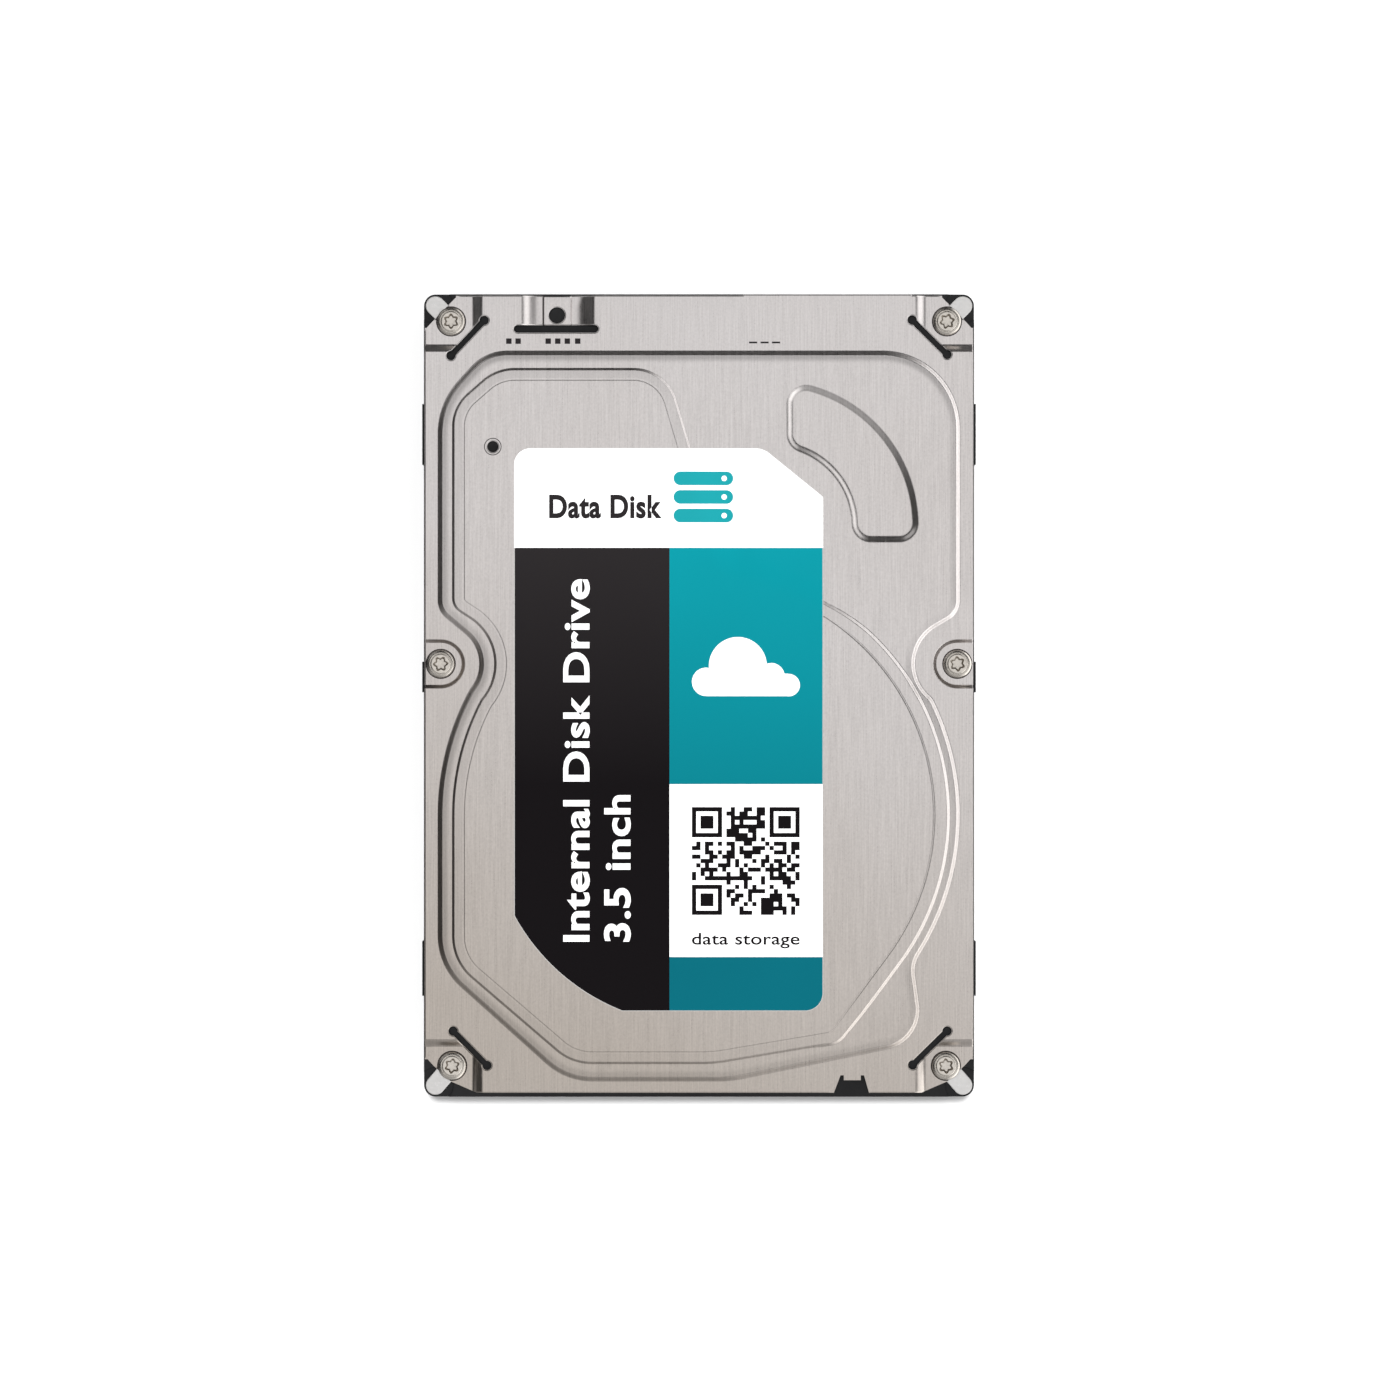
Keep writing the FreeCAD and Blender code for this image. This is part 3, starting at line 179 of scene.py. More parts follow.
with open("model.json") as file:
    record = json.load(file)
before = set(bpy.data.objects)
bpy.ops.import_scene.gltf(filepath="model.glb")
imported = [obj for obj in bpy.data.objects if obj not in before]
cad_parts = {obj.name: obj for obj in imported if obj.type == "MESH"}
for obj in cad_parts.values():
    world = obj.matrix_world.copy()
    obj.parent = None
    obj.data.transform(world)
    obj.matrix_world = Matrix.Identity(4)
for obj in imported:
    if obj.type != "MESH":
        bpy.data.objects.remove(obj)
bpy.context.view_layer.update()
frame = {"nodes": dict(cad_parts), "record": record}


# flat geometry

def polar(centre, radius, degrees):
    a = math.radians(degrees)
    return (centre[0] + radius * math.cos(a), centre[1] + radius * math.sin(a))


def leg(longest, other):
    """Third side of a right triangle."""
    return math.sqrt(longest ** 2 - other ** 2)


def meeting(c1, r1, c2, r2, side):
    """The point r1 from c1 and r2 from c2, to the left or right of the way from c1 to c2."""
    dx = c2[0] - c1[0]
    dy = c2[1] - c1[1]
    d = math.hypot(dx, dy)
    along = (d * d + r1 * r1 - r2 * r2) / (2 * d)
    across = side * math.sqrt(r1 * r1 - along * along)
    return (c1[0] + (along * dx - across * dy) / d, c1[1] + (along * dy + across * dx) / d)


def crosses_oddly(away, run):
    """Whether a line from each point towards +X crosses an odd number of edges.

    away holds each point seen from each edge's start, and run each edge's way to its end.
    """
    rise = np.where(run[:, 1] == 0, 1.0, run[:, 1])
    straddles = (away[..., 1] < 0) != (away[..., 1] < run[:, 1])
    left_of = away[..., 0] < away[..., 1] * run[:, 0] / rise
    return (straddles & left_of).sum(1) % 2 == 1


def loop_distance(points, loop):
    """Distance of each point from a closed loop of points, negative inside it."""
    run = np.roll(loop, -1, 0) - loop
    length = (run ** 2).sum(1)
    result = np.empty(len(points))
    for first in range(0, len(points), BATCH):
        away = points[first:first + BATCH, None, :] - loop
        t = np.clip((away * run).sum(-1) / length, 0, 1)
        squared = ((away - t[..., None] * run) ** 2).sum(-1).min(1)
        result[first:first + BATCH] = np.sqrt(squared) * np.where(crosses_oddly(away, run), -1, 1)
    return result


def nearest(shapes, points):
    """Distance of each point from the nearest of some shapes, negative inside one."""
    return np.min([shape.distance(points) for shape in shapes], axis=0)


class Outline:
    """A closed line that runs round circles (x, y, radius, side) like a belt, LEFT ones outside."""

    def __init__(self, rounds, sag=0.004, stretch=3.0):
        radii = [side * r for _, _, r, side in rounds]
        headings = []
        for i, (x, y, _, _) in enumerate(rounds):
            j = (i + 1) % len(rounds)
            dx = rounds[j][0] - x
            dy = rounds[j][1] - y
            lean = (radii[i] - radii[j]) / math.hypot(dx, dy)
            headings.append(math.atan2(dy, dx) + math.asin(max(-1.0, min(1.0, lean))))
        stations = []
        for i, (x, y, r, side) in enumerate(rounds):
            turn = side * ((side * (headings[i] - headings[i - 1])) % (2 * math.pi))
            if abs(turn) > 2 * math.pi - 1e-4:
                turn = 0.0
            steps = max(1, math.ceil(abs(turn) / min(0.25, math.sqrt(8 * sag / r))))
            for k in range(steps + 1):
                h = headings[i - 1] + turn * k / steps
                stations.append((x + radii[i] * math.sin(h), y - radii[i] * math.cos(h), h))
        self.base, self.normal = self.with_straights(stations, stretch)

    @staticmethod
    def with_straights(stations, stretch):
        points = []
        for i, (x, y, h) in enumerate(stations):
            px, py, _ = stations[i - 1]
            gap = math.hypot(x - px, y - py)
            if gap < 1e-3:
                continue
            for k in range(1, int(gap / stretch) + 1):
                t = k / (int(gap / stretch) + 1)
                points.append((px + t * (x - px), py + t * (y - py), h))
            points.append((x, y, h))
        table = np.array(points)
        return table[:, :2], np.stack([np.sin(table[:, 2]), -np.cos(table[:, 2])], 1)

    def offset(self, grow):
        return self.base + grow * self.normal

    def distance(self, points):
        return loop_distance(points, self.base)


class Bar:
    """A round-ended bar from a to b, or a circle where they are the same."""

    def __init__(self, a, b, radius):
        self.a = np.array(a, float)
        self.b = np.array(b, float)
        self.radius = radius

    def distance(self, points):
        run = self.b - self.a
        t = np.clip(((points - self.a) @ run) / max(run @ run, 1e-12), 0, 1)
        return np.linalg.norm(points - self.a - t[:, None] * run, axis=1) - self.radius

    def offset(self, grow):
        run = self.b - self.a
        ahead = math.atan2(run[1], run[0])
        r = self.radius + grow
        count = max(20, int(6 * math.sqrt(r) * 6))
        angles = np.linspace(-math.pi / 2, math.pi / 2, count // 2 + 1)
        ends = []
        for centre, turn in ((self.b, ahead), (self.a, ahead + math.pi)):
            ends.append(centre + r * np.stack([np.cos(angles + turn), np.sin(angles + turn)], 1))
        if not run.any():
            return np.concatenate([ends[0][:-1], ends[1][:-1]])
        return np.concatenate(ends)


def disc(centre, radius):
    return Bar(centre, centre, radius)


class Plate:
    """A rectangle x0 to x1, y0 to y1 with round corners."""

    def __init__(self, x0, x1, y0, y1, r):
        corners = [(x1 - r, y1 - r), (x0 + r, y1 - r), (x0 + r, y0 + r), (x1 - r, y0 + r)]
        self.middle = np.array([(x0 + x1) / 2, (y0 + y1) / 2])
        self.half = np.array([(x1 - x0) / 2 - r, (y1 - y0) / 2 - r])
        self.radius = r
        self.outline = Outline([(x, y, r, LEFT) for x, y in corners])

    def distance(self, points):
        q = np.abs(points - self.middle) - self.half
        outside = np.linalg.norm(np.maximum(q, 0), axis=1)
        return outside + np.minimum(q.max(1), 0) - self.radius

    def offset(self, grow):
        return self.outline.offset(grow)


class Polygon:
    """A closed outline with sharp corners, which keeps its size when it is offset."""

    def __init__(self, points):
        self.points = np.array(points, float)

    def distance(self, points):
        return loop_distance(points, self.points)

    def offset(self, grow):
        return self.points


def step_outline():
    """Raised middle of the cover, which narrows round the two middle screws."""
    right_screw, left_screw = MIDDLE_SCREWS
    return Outline([
        (33.6, 48.9, 13.8, LEFT),
        (-35.1, 54.2, 8.5, LEFT),
        (-33.4, 47.9, 14.0, LEFT),
        (-43.65, 17.4, 3.75, LEFT),
        (*left_screw, 7.5, RIGHT),
        (*meeting(SPINDLE, 44.4, left_screw, 10.5, LEFT), 3.0, LEFT),
        (*SPINDLE, 47.4, LEFT),
        (-35.1, -43.9, 12.3, LEFT),
        (-19.5, -57.9, 12.3, LEFT),
        (3.2, -45.2, 25.0, LEFT),
        (33.0, -57.5, 7.0, LEFT),
        (*polar(SPINDLE, 53.4, -32.3), 6.0, RIGHT),
        (*SPINDLE, 47.4, LEFT),
        (*meeting(SPINDLE, 44.4, right_screw, 11.1, RIGHT), 3.0, LEFT),
        (*right_screw, 8.1, RIGHT),
        (43.65, 17.4, 3.75, LEFT),
    ])


def plateau_outline():
    """Second level, over the disks and the upper left of the cover."""
    left_screw = MIDDLE_SCREWS[1]
    return Outline([
        (*SPINDLE, 45.1, LEFT),
        (*polar(SPINDLE, 50.1, 79.7), 5.0, RIGHT),
        (-12.0, 51.65, 8.2, LEFT),
        (-33.7, 50.85, 9.0, LEFT),
        (-37.1, 49.2, 8.0, LEFT),
        (-42.1, 17.8, 3.0, LEFT),
        (*left_screw, 9.9, RIGHT),
        (*meeting(SPINDLE, 41.9, left_screw, 13.1, LEFT), 3.2, LEFT),
        (*SPINDLE, 45.1, LEFT),
        (-35.1, -44.05, 10.0, LEFT),
        (-19.6, -57.35, 10.0, LEFT),
        (0.6, -42.35, 25.0, LEFT),
        (23.0, -59.9, 4.0, LEFT),
    ])


def kidney_outline():
    """Bean-shaped hollow beside the heads' parking place."""
    centre = (13.5, 31.0)
    inner = 15.0
    outer = 26.1
    corner = 3.0
    left = 16.6 + corner
    low = 28.6 + corner
    rise = left - centre[0]
    drop = low - centre[1]
    return Outline([
        (*centre, outer, LEFT),
        (left, centre[1] + leg(outer - corner, rise), corner, LEFT),
        (left, centre[1] + leg(inner + corner, rise), corner, LEFT),
        (*centre, inner, RIGHT),
        (centre[0] + leg(inner + corner, drop), low, corner, LEFT),
        (centre[0] + leg(outer - corner, drop), low, corner, LEFT),
    ])


def label_outline():
    edge_r = 38.5
    corner = 0.4
    chord_y = SPINDLE[1] - leg(edge_r - corner, LABEL_LEFT + corner)
    chord_x = -leg(edge_r - corner, LABEL_BOTTOM + corner - SPINDLE[1])
    return Outline([
        (10.3, 41.2, 4.0, LEFT),
        (-30.8, 42.2, 3.0, LEFT),
        (LABEL_LEFT + corner, chord_y, corner, LEFT),
        (*SPINDLE, edge_r, LEFT),
        (chord_x, LABEL_BOTTOM + corner, corner, LEFT),
        (19.4, -54.4, 3.3, LEFT),
        (22.2, 36.05, 0.5, LEFT),
    ])


STEP = step_outline()
PLATEAU = plateau_outline()
KIDNEY = kidney_outline()
LABEL = label_outline()
BORDER = [Plate(*edges) for edges in COVER_EDGES]
SEATS = [Bar(p, (p[0] + math.copysign(12, p[0]), p[1]), SEAT_R) for p in MIDDLE_SCREWS]
DIMPLES = [disc(p, DIMPLE_R) for p in (SPINDLE, PIVOT)]
CHANNEL_BOSS = Plate(*CHANNEL_PAD)


def cover_cuts():
    """Holes, slots and notches through the cover."""
    cuts = [disc(p, SCREW_HOLE_R) for p in CORNER_SCREWS + MIDDLE_SCREWS]
    cuts += [disc(p, SHAFT_HOLE_R) for p in (SPINDLE, PIVOT)]
    for a, b in RELIEF_SLOTS:
        cuts += [Bar(a, b, SLOT_R), disc(a, SLOT_END_R), disc(b, SLOT_END_R)]
    for x, y in CORNER_SCREWS:
        outline = UPPER_NOTCH if y > 0 else LOWER_NOTCH
        corners = [(x + math.copysign(dx, x * dx), y + math.copysign(dy, y * dy)) for dx, dy in outline]
        cuts.append(Polygon(corners))
    cuts.append(Bar(*TONGUE_SLOT, TONGUE_SLOT_R))
    cuts.append(disc(TONGUE_HOLE, TONGUE_HOLE_R))
    cuts.append(disc(BREATHER, BREATHER_R))
    # the notch at the disks' end, in three parts: its two sloping sides and its shallower middle
    low = COVER_BOTTOM - 1
    cuts.append(Polygon([(24.3, low), (26.5, low), (26.5, -69.5), (25.9, -69.5)]))
    cuts.append(Polygon([(29.6, low), (31.4, low), (30.2, -69.5), (29.6, -69.5)]))
    cuts.append(Polygon([(26.5, low), (29.6, low), (29.6, -70.4), (26.5, -70.4)]))
    return cuts


CUTS = cover_cuts()


# heights of the pressed cover

def smooth(t):
    t = np.clip(t, 0, 1)
    return t * t * (3 - 2 * t)


def ease(distance, start, run):
    """0 outside an edge and 1 inside it: the way in starts at a distance and takes a run."""
    return smooth((start - distance) / run)


def tab_share(points, corner):
    """How far each point is down the bends round one corner screw, 0 to 1."""
    sx = math.copysign(1, CORNER_SCREWS[corner][0])
    sy = math.copysign(1, CORNER_SCREWS[corner][1])
    (x0, y0), (x1, y1) = TAB_BENDS
    down_x = smooth((sx * points[:, 0] - x0) / (x1 - x0))
    down_y = smooth((sy * points[:, 1] - y0) / (y1 - y0))
    (ax, ay), (bx, by) = RELIEF_SLOTS[corner]
    side = (bx - ax) * (points[:, 1] - ay) - (by - ay) * (points[:, 0] - ax)
    lobe_x, lobe_y = LOBES[corner]
    outside = (bx - ax) * (lobe_y - ay) - (by - ay) * (lobe_x - ax)
    return np.minimum(down_x, down_y) * (side * outside > 0)


def channel_share(points):
    """How far each point is down into the channel over the handling tongue, 0 to 1."""
    left, right = CHANNEL_SIDES
    beyond = np.abs(points[:, 0] - (left + right) / 2) - (right - left) / 2
    return ease(beyond, *CHANNEL_EDGE) * (points[:, 1] > CHANNEL_START)


def cover_height(points):
    """Height of the cover's outer surface, with its pressed steps, tabs and worn edges."""
    drop = FLANGE_TOP - TAB_TOP
    plateau = PLATEAU.distance(points)
    step = STEP.distance(points)
    disks = smooth((points[:, 0] - DISKS_FROM) / DISKS_FADE)
    z = FLANGE_TOP + (STEP_TOP - FLANGE_TOP - SHOULDER) * smooth(0.5 - step / STEP_RUN)
    z += SHOULDER * ease(step, *SHOULDER_EDGE)
    lip = PLATEAU_EDGE + DISKS_LIP_RISE * disks
    start, run = PLATEAU_LIP
    z += (lip - STEP_TOP) * ease(plateau, start + DISKS_LIP_SHIFT * disks, run + DISKS_LIP_RUN * disks)
    start, run = PLATEAU_SLOPE
    way_in = (start + DISKS_SLOPE_SHIFT * disks - plateau) / (run + DISKS_SLOPE_SHIFT * disks)
    z += (PLATEAU_TOP - lip) * np.clip(way_in, 0, 1)
    crease = smooth(1 - np.abs(plateau + CREASE_INSET) / CREASE_HALF_WIDTH)
    z -= CREASE * (1 + DISKS_CREASE * disks) * crease
    z -= KIDNEY_DROP * smooth(0.5 - KIDNEY.distance(points) / KIDNEY_RUN)
    for corner in range(4):
        z -= drop * tab_share(points, corner)
    for seat in SEATS:
        z -= drop * ease(seat.distance(points), *SEAT_EDGE)
    z -= drop * channel_share(points)
    z += BOSS_RISE * ease(CHANNEL_BOSS.distance(points), *BOSS_EDGE)
    for dimple in DIMPLES:
        z -= DIMPLE_DROP * ease(dimple.distance(points), *DIMPLE_EDGE)
    edge = np.minimum(-nearest(BORDER, points), nearest(CUTS, points))
    return z - ROLLOVER_DROP * (1 - smooth(edge / ROLLOVER))


def film_height(points):
    """Height of the label, which lies on the plateau and bridges its edge."""
    return STEP_TOP + (PLATEAU_TOP - STEP_TOP) * ease(PLATEAU.distance(points), *LABEL_BRIDGE) + FILM


# meshes

def triangulate(loops, chains, inside):
    """Flat triangles along every closed loop and open chain, kept where their middles are inside."""
    vertices = []
    edges = []
    for points, closed in [(p, True) for p in loops] + [(p, False) for p in chains]:
        first = len(vertices)
        count = len(points)
        vertices += [Vector((float(x), float(y))) for x, y in points]
        edges += [(first + i, first + (i + 1) % count) for i in range(count if closed else count - 1)]
    points, _, faces, *_ = delaunay_2d_cdt(vertices, edges, [], 0, 1e-5)
    points = np.array([p[:] for p in points])
    faces = np.array([f[:] for f in faces])
    a, b, c = (points[faces[:, k]] for k in range(3))
    turn = (b[:, 0] - a[:, 0]) * (c[:, 1] - a[:, 1]) - (b[:, 1] - a[:, 1]) * (c[:, 0] - a[:, 0])
    faces[turn < 0] = faces[turn < 0][:, ::-1]
    faces = faces[np.abs(turn) > 1e-9]
    middle = points[faces].mean(1)
    keep = inside(middle)
    return points, faces[keep], middle[keep]


def ring_faces(rows):
    """Faces between rows of points round an axis. Each row is a whole ring or a single point."""
    faces = []
    first = 0
    for lower, upper in zip(rows, rows[1:]):
        second = first + len(lower)
        count = max(len(lower), len(upper))
        for i in range(count):
            j = (i + 1) % count
            if len(lower) == 1:
                faces.append((first, second + j, second + i))
            elif len(upper) == 1:
                faces.append((first + i, first + j, second))
            else:
                faces.append((first + i, first + j, second + j, second + i))
        first = second
    return faces


def add_object(name, vertices, faces, materials, indices=None, sharp=40.0):
    """A mesh object from millimetre vertices, smooth but for edges sharper than the given angle."""
    mesh = bpy.data.meshes.new(name)
    mesh.from_pydata((np.asarray(vertices, float) * MM).tolist(), [], [list(f) for f in faces])
    for material in materials:
        mesh.materials.append(material)
    if indices is not None:
        mesh.polygons.foreach_set("material_index", np.asarray(indices, np.int32))
    mesh.polygons.foreach_set("use_smooth", np.ones(len(mesh.polygons), bool))
    mesh.update()
    mesh.set_sharp_from_angle(angle=math.radians(sharp))
    obj = bpy.data.objects.new(name, mesh)
    bpy.context.scene.collection.objects.link(obj)
    return obj


def surface_normals(points, heights):
    """Exact normals of a height function, so that shading doesn't depend on the triangles."""
    step = 0.005
    middle = heights(points)
    rise = [(heights(points + shift) - middle) / step for shift in ([step, 0], [0, step])]
    normals = np.column_stack([-rise[0], -rise[1], np.ones(len(points))])
    return normals / np.linalg.norm(normals, axis=1)[:, None]


def add_sheet(name, points, faces, heights, thickness, materials, indices):
    """A closed sheet: its top at the given heights, a back below it, and walls round every edge."""
    used, compact = np.unique(faces, return_inverse=True)
    normals = surface_normals(points[used], heights)
    top = compact.reshape(faces.shape)
    upper = np.column_stack([points[used], heights(points[used])])
    lower = upper - [0, 0, thickness]
    count = len(used)
    directed = np.concatenate([top[:, [0, 1]], top[:, [1, 2]], top[:, [2, 0]]])
    owner = np.tile(np.arange(len(top)), 3)
    keys = directed[:, 0] * count + directed[:, 1]
    back = directed[:, 1] * count + directed[:, 0]
    rim = ~np.isin(keys, back)
    a, b = directed[rim].T
    walls = np.column_stack([b, a, a + count, b + count])
    all_faces = top.tolist() + (top[:, ::-1] + count).tolist() + walls.tolist()
    all_indices = np.concatenate([indices, indices, indices[owner[rim]]])
    piece = add_object(name, np.concatenate([upper, lower]), all_faces, materials, all_indices)
    run = points[used][b] - points[used][a]
    outward = np.column_stack([run[:, 1], -run[:, 0], np.zeros(len(run))])
    outward /= np.linalg.norm(outward, axis=1)[:, None]
    sideways = np.repeat(outward, 4, axis=0)
    corners = [normals[top].reshape(-1, 3), -normals[top[:, ::-1]].reshape(-1, 3), sideways]
    piece.data.normals_split_custom_set(np.concatenate(corners).tolist())
    return piece


# materials

def math_node(tree, operation, a, b):
    """Output of a math node whose inputs are numbers or other outputs."""
    node = tree.nodes.new("ShaderNodeMath")
    node.operation = operation
    for socket, value in zip(node.inputs, (a, b)):
        if isinstance(value, (int, float)):
            socket.default_value = value
        else:
            tree.links.new(value, socket)
    return node.outputs["Value"]


class Paint:
    """A Principled surface with procedural variation in the object's own coordinates."""

    def __init__(self, name, colour, metallic=0.0, roughness=0.5, specular=0.5, coat=0.0):
        self.material = bpy.data.materials.new(name)
        self.material.use_nodes = True
        self.tree = self.material.node_tree
        self.shader = self.tree.nodes["Principled BSDF"]
        self.colour = (*colour, 1.0)
        self.roughness = roughness
        settings = {
            "Base Color": self.colour, "Metallic": metallic, "Roughness": roughness,
            "Specular IOR Level": specular, "Coat Weight": coat, "Coat Roughness": 0.15,
        }
        for key, value in settings.items():
            self.shader.inputs[key].default_value = value
        self.place = self.tree.nodes.new("ShaderNodeTexCoord").outputs["Object"]
        self.normal = None
        self.material.diffuse_color = self.colour

    def node(self, kind, **settings):
        node = self.tree.nodes.new(kind)
        for key, value in settings.items():
            setattr(node, key, value)
        return node

    def link(self, source, target):
        self.tree.links.new(source, target)

    def noise(self, size, detail=2.0, roughness=0.5):
        """Noise whose features are size millimetres, one number or one each along x, y and z."""
        mapping = self.node("ShaderNodeMapping")
        mapping.inputs["Scale"].default_value = [1 / (s * MM) for s in np.ones(3) * size]
        self.link(self.place, mapping.inputs["Vector"])
        texture = self.node("ShaderNodeTexNoise")
        texture.inputs["Scale"].default_value = 1.0
        texture.inputs["Detail"].default_value = detail
        texture.inputs["Roughness"].default_value = roughness
        self.link(mapping.outputs["Vector"], texture.inputs["Vector"])
        return texture.outputs["Fac"]

    def math(self, operation, a, b):
        return math_node(self.tree, operation, a, b)

    def axis(self, name):
        """Place along X, Y or Z."""
        split = self.node("ShaderNodeSeparateXYZ")
        self.link(self.place, split.inputs["Vector"])
        return split.outputs[name]

    def vector_math(self, operation, vector, other=(0.0, 0.0, 0.0)):
        node = self.node("ShaderNodeVectorMath", operation=operation)
        self.link(vector, node.inputs[0])
        node.inputs[1].default_value = other
        return node.outputs

    def spread(self, factor, low, high, clip_low=0.3, clip_high=0.7):
        """Stretches the middle of a noise over the range low to high."""
        node = self.node("ShaderNodeMapRange")
        self.link(factor, node.inputs["Value"])
        limits = {"From Min": clip_low, "From Max": clip_high, "To Min": low, "To Max": high}
        for key, value in limits.items():
            node.inputs[key].default_value = value
        return node.outputs["Result"]

    def mix(self, factor, a, b):
        node = self.node("ShaderNodeMix", data_type="RGBA")
        self.link(factor, node.inputs["Factor"])
        for socket, value in ((node.inputs[6], a), (node.inputs[7], b)):
            if isinstance(value, tuple):
                socket.default_value = value
            else:
                self.link(value, socket)
        return node.outputs[2]

    def multiply(self, a, b):
        node = self.node("ShaderNodeMix", data_type="RGBA", blend_type="MULTIPLY")
        node.inputs["Factor"].default_value = 1.0
        self.link(a, node.inputs[6])
        self.link(b, node.inputs[7])
        return node.outputs[2]

    def shade(self, amount):
        return tuple(min(1.0, c * amount) for c in self.colour[:3]) + (1.0,)

    def vary_colour(self, factor, dark, light):
        """Base colour from dark to light, as shares of the plain colour."""
        result = self.mix(self.spread(factor, 0.0, 1.0), self.shade(dark), self.shade(light))
        self.link(result, self.shader.inputs["Base Color"])
        return result

    def vary_roughness(self, factor, low, high):
        self.link(self.spread(factor, low, high), self.shader.inputs["Roughness"])

    def soften_edges(self, radius):
        """Rounds hard edges in the shading by a radius in millimetres."""
        bevel = self.node("ShaderNodeBevel", samples=4)
        bevel.inputs["Radius"].default_value = radius * MM
        self.attach_normal(bevel.outputs["Normal"])

    def bump(self, factor, height, strength=1.0):
        """Relief of a height in millimetres."""
        node = self.node("ShaderNodeBump")
        node.inputs["Distance"].default_value = height * MM
        node.inputs["Strength"].default_value = strength
        self.link(factor, node.inputs["Height"])
        if self.normal is not None:
            self.link(self.normal, node.inputs["Normal"])
        self.attach_normal(node.outputs["Normal"])

    def attach_normal(self, socket):
        self.normal = socket
        self.link(socket, self.shader.inputs["Normal"])


def cover_steel():
    """Stainless sheet, finely brushed along the drive and a little stained, with painted shade that darkens
    and warms it towards the -Y end.
    """
    paint = Paint("cover_steel", (0.634, 0.605, 0.598), 1.0, 0.3)
    brushing = paint.noise((0.22, 9.0, 4.0), 3.0, 0.6)
    grain = paint.noise((0.35, 0.5, 0.35), 2.0, 0.7)
    stain = paint.noise((38.0, 55.0, 30.0), 2.0)
    fine = paint.math("ADD", paint.math("MULTIPLY", brushing, 0.6), paint.math("MULTIPLY", grain, 0.4))
    worn = paint.vary_colour(fine, 0.80, 1.16)
    # painted shade: the base colour darkens and warms towards -Y and a little towards -X, standing in for how
    # the light falls across the cover
    along = paint.vector_math("DOT_PRODUCT", paint.place, (0.35, 1.0, 0.0))["Value"]
    upwards = paint.spread(along, 0.0, 1.0, -72 * MM, 18 * MM)
    painted_shade = paint.mix(upwards, (0.74, 0.70, 0.64, 1.0), (1.0, 1.0, 1.0, 1.0))
    cloud = paint.mix(paint.spread(stain, 0.0, 1.0), (0.965, 0.955, 0.945, 1.0), (1.0, 1.0, 1.0, 1.0))
    paint.link(paint.multiply(paint.multiply(worn, painted_shade), cloud), paint.shader.inputs["Base Color"])
    paint.vary_roughness(fine, 0.26, 0.35)
    paint.bump(fine, 0.004, 0.35)
    return paint.material


def casting():
    """Black electrocoat with a fine orange peel, cut back to bright metal on the corner pads."""
    paint = Paint("casting", (0.007, 0.007, 0.0075), 0.0, 0.42, 0.22)
    peel = paint.noise(0.45, 3.0, 0.6)
    flow = paint.noise((14.0, 14.0, 9.0), 3.0)
    coat = paint.vary_colour(flow, 0.75, 1.45)
    mirrored = paint.vector_math("ABSOLUTE", paint.place)["Vector"]
    pad = (LOBES[0][0] * MM, LOBES[0][1] * MM, RIM * MM)
    near = paint.math("LESS_THAN", paint.vector_math("DISTANCE", mirrored, pad)["Value"], PAD_R * MM)
    high = paint.math("GREATER_THAN", paint.axis("Z"), (RIM - 0.03) * MM)
    milled = paint.math("MULTIPLY", near, high)
    paint.link(paint.mix(milled, coat, (0.66, 0.65, 0.64, 1.0)), paint.shader.inputs["Base Color"])
    paint.link(milled, paint.shader.inputs["Metallic"])
    polish = paint.math("MULTIPLY", milled, 0.12)
    paint.link(paint.math("SUBTRACT", paint.spread(peel, 0.38, 0.5), polish), paint.shader.inputs["Roughness"])
    paint.soften_edges(0.25)
    paint.bump(peel, 0.02, 0.35)
    return paint.material


def printed(name, colour, lower=None):
    """Ink on smooth film, with an optional fade to a second colour towards the lower end."""
    paint = Paint(name, colour, 0.0, 0.38, 0.06)
    tooth = paint.noise(0.25, 2.0)
    cloud = paint.noise((16.0, 22.0, 10.0), 2.0)
    shade = paint.vary_colour(cloud, 0.98, 1.02)
    if lower is not None:
        fade = paint.spread(paint.axis("Y"), 0.0, 1.0, HEADER_BOTTOM * MM, TEAL_BOTTOM * MM)
        paint.link(paint.mix(fade, shade, (*lower, 1.0)), paint.shader.inputs["Base Color"])
    paint.vary_roughness(tooth, 0.34, 0.42)
    paint.bump(tooth, 0.004, 0.2)
    return paint.material


def circuit_board():
    """Green solder mask over faint copper tracks."""
    paint = Paint("board", (0.012, 0.085, 0.045), 0.0, 0.3, 0.5, 0.3)
    mapping = paint.node("ShaderNodeMapping")
    mapping.inputs["Scale"].default_value = (700.0, 700.0, 50.0)
    paint.link(paint.place, mapping.inputs["Vector"])
    cells = paint.node("ShaderNodeTexVoronoi", distance="MANHATTAN", feature="F1")
    cells.inputs["Scale"].default_value = 0.25
    paint.link(mapping.outputs["Vector"], cells.inputs["Vector"])
    repeats = paint.math("MULTIPLY", cells.outputs["Distance"], 6.0)
    bands = paint.math("GREATER_THAN", paint.math("FRACT", repeats, 0.0), 0.55)
    mottle = paint.noise(3.0, 2.0)
    base = paint.vary_colour(mottle, 0.85, 1.15)
    paint.link(paint.mix(bands, base, (0.03, 0.16, 0.08, 1.0)), paint.shader.inputs["Base Color"])
    paint.soften_edges(0.1)
    paint.bump(bands, 0.03, 0.4)
    return paint.material


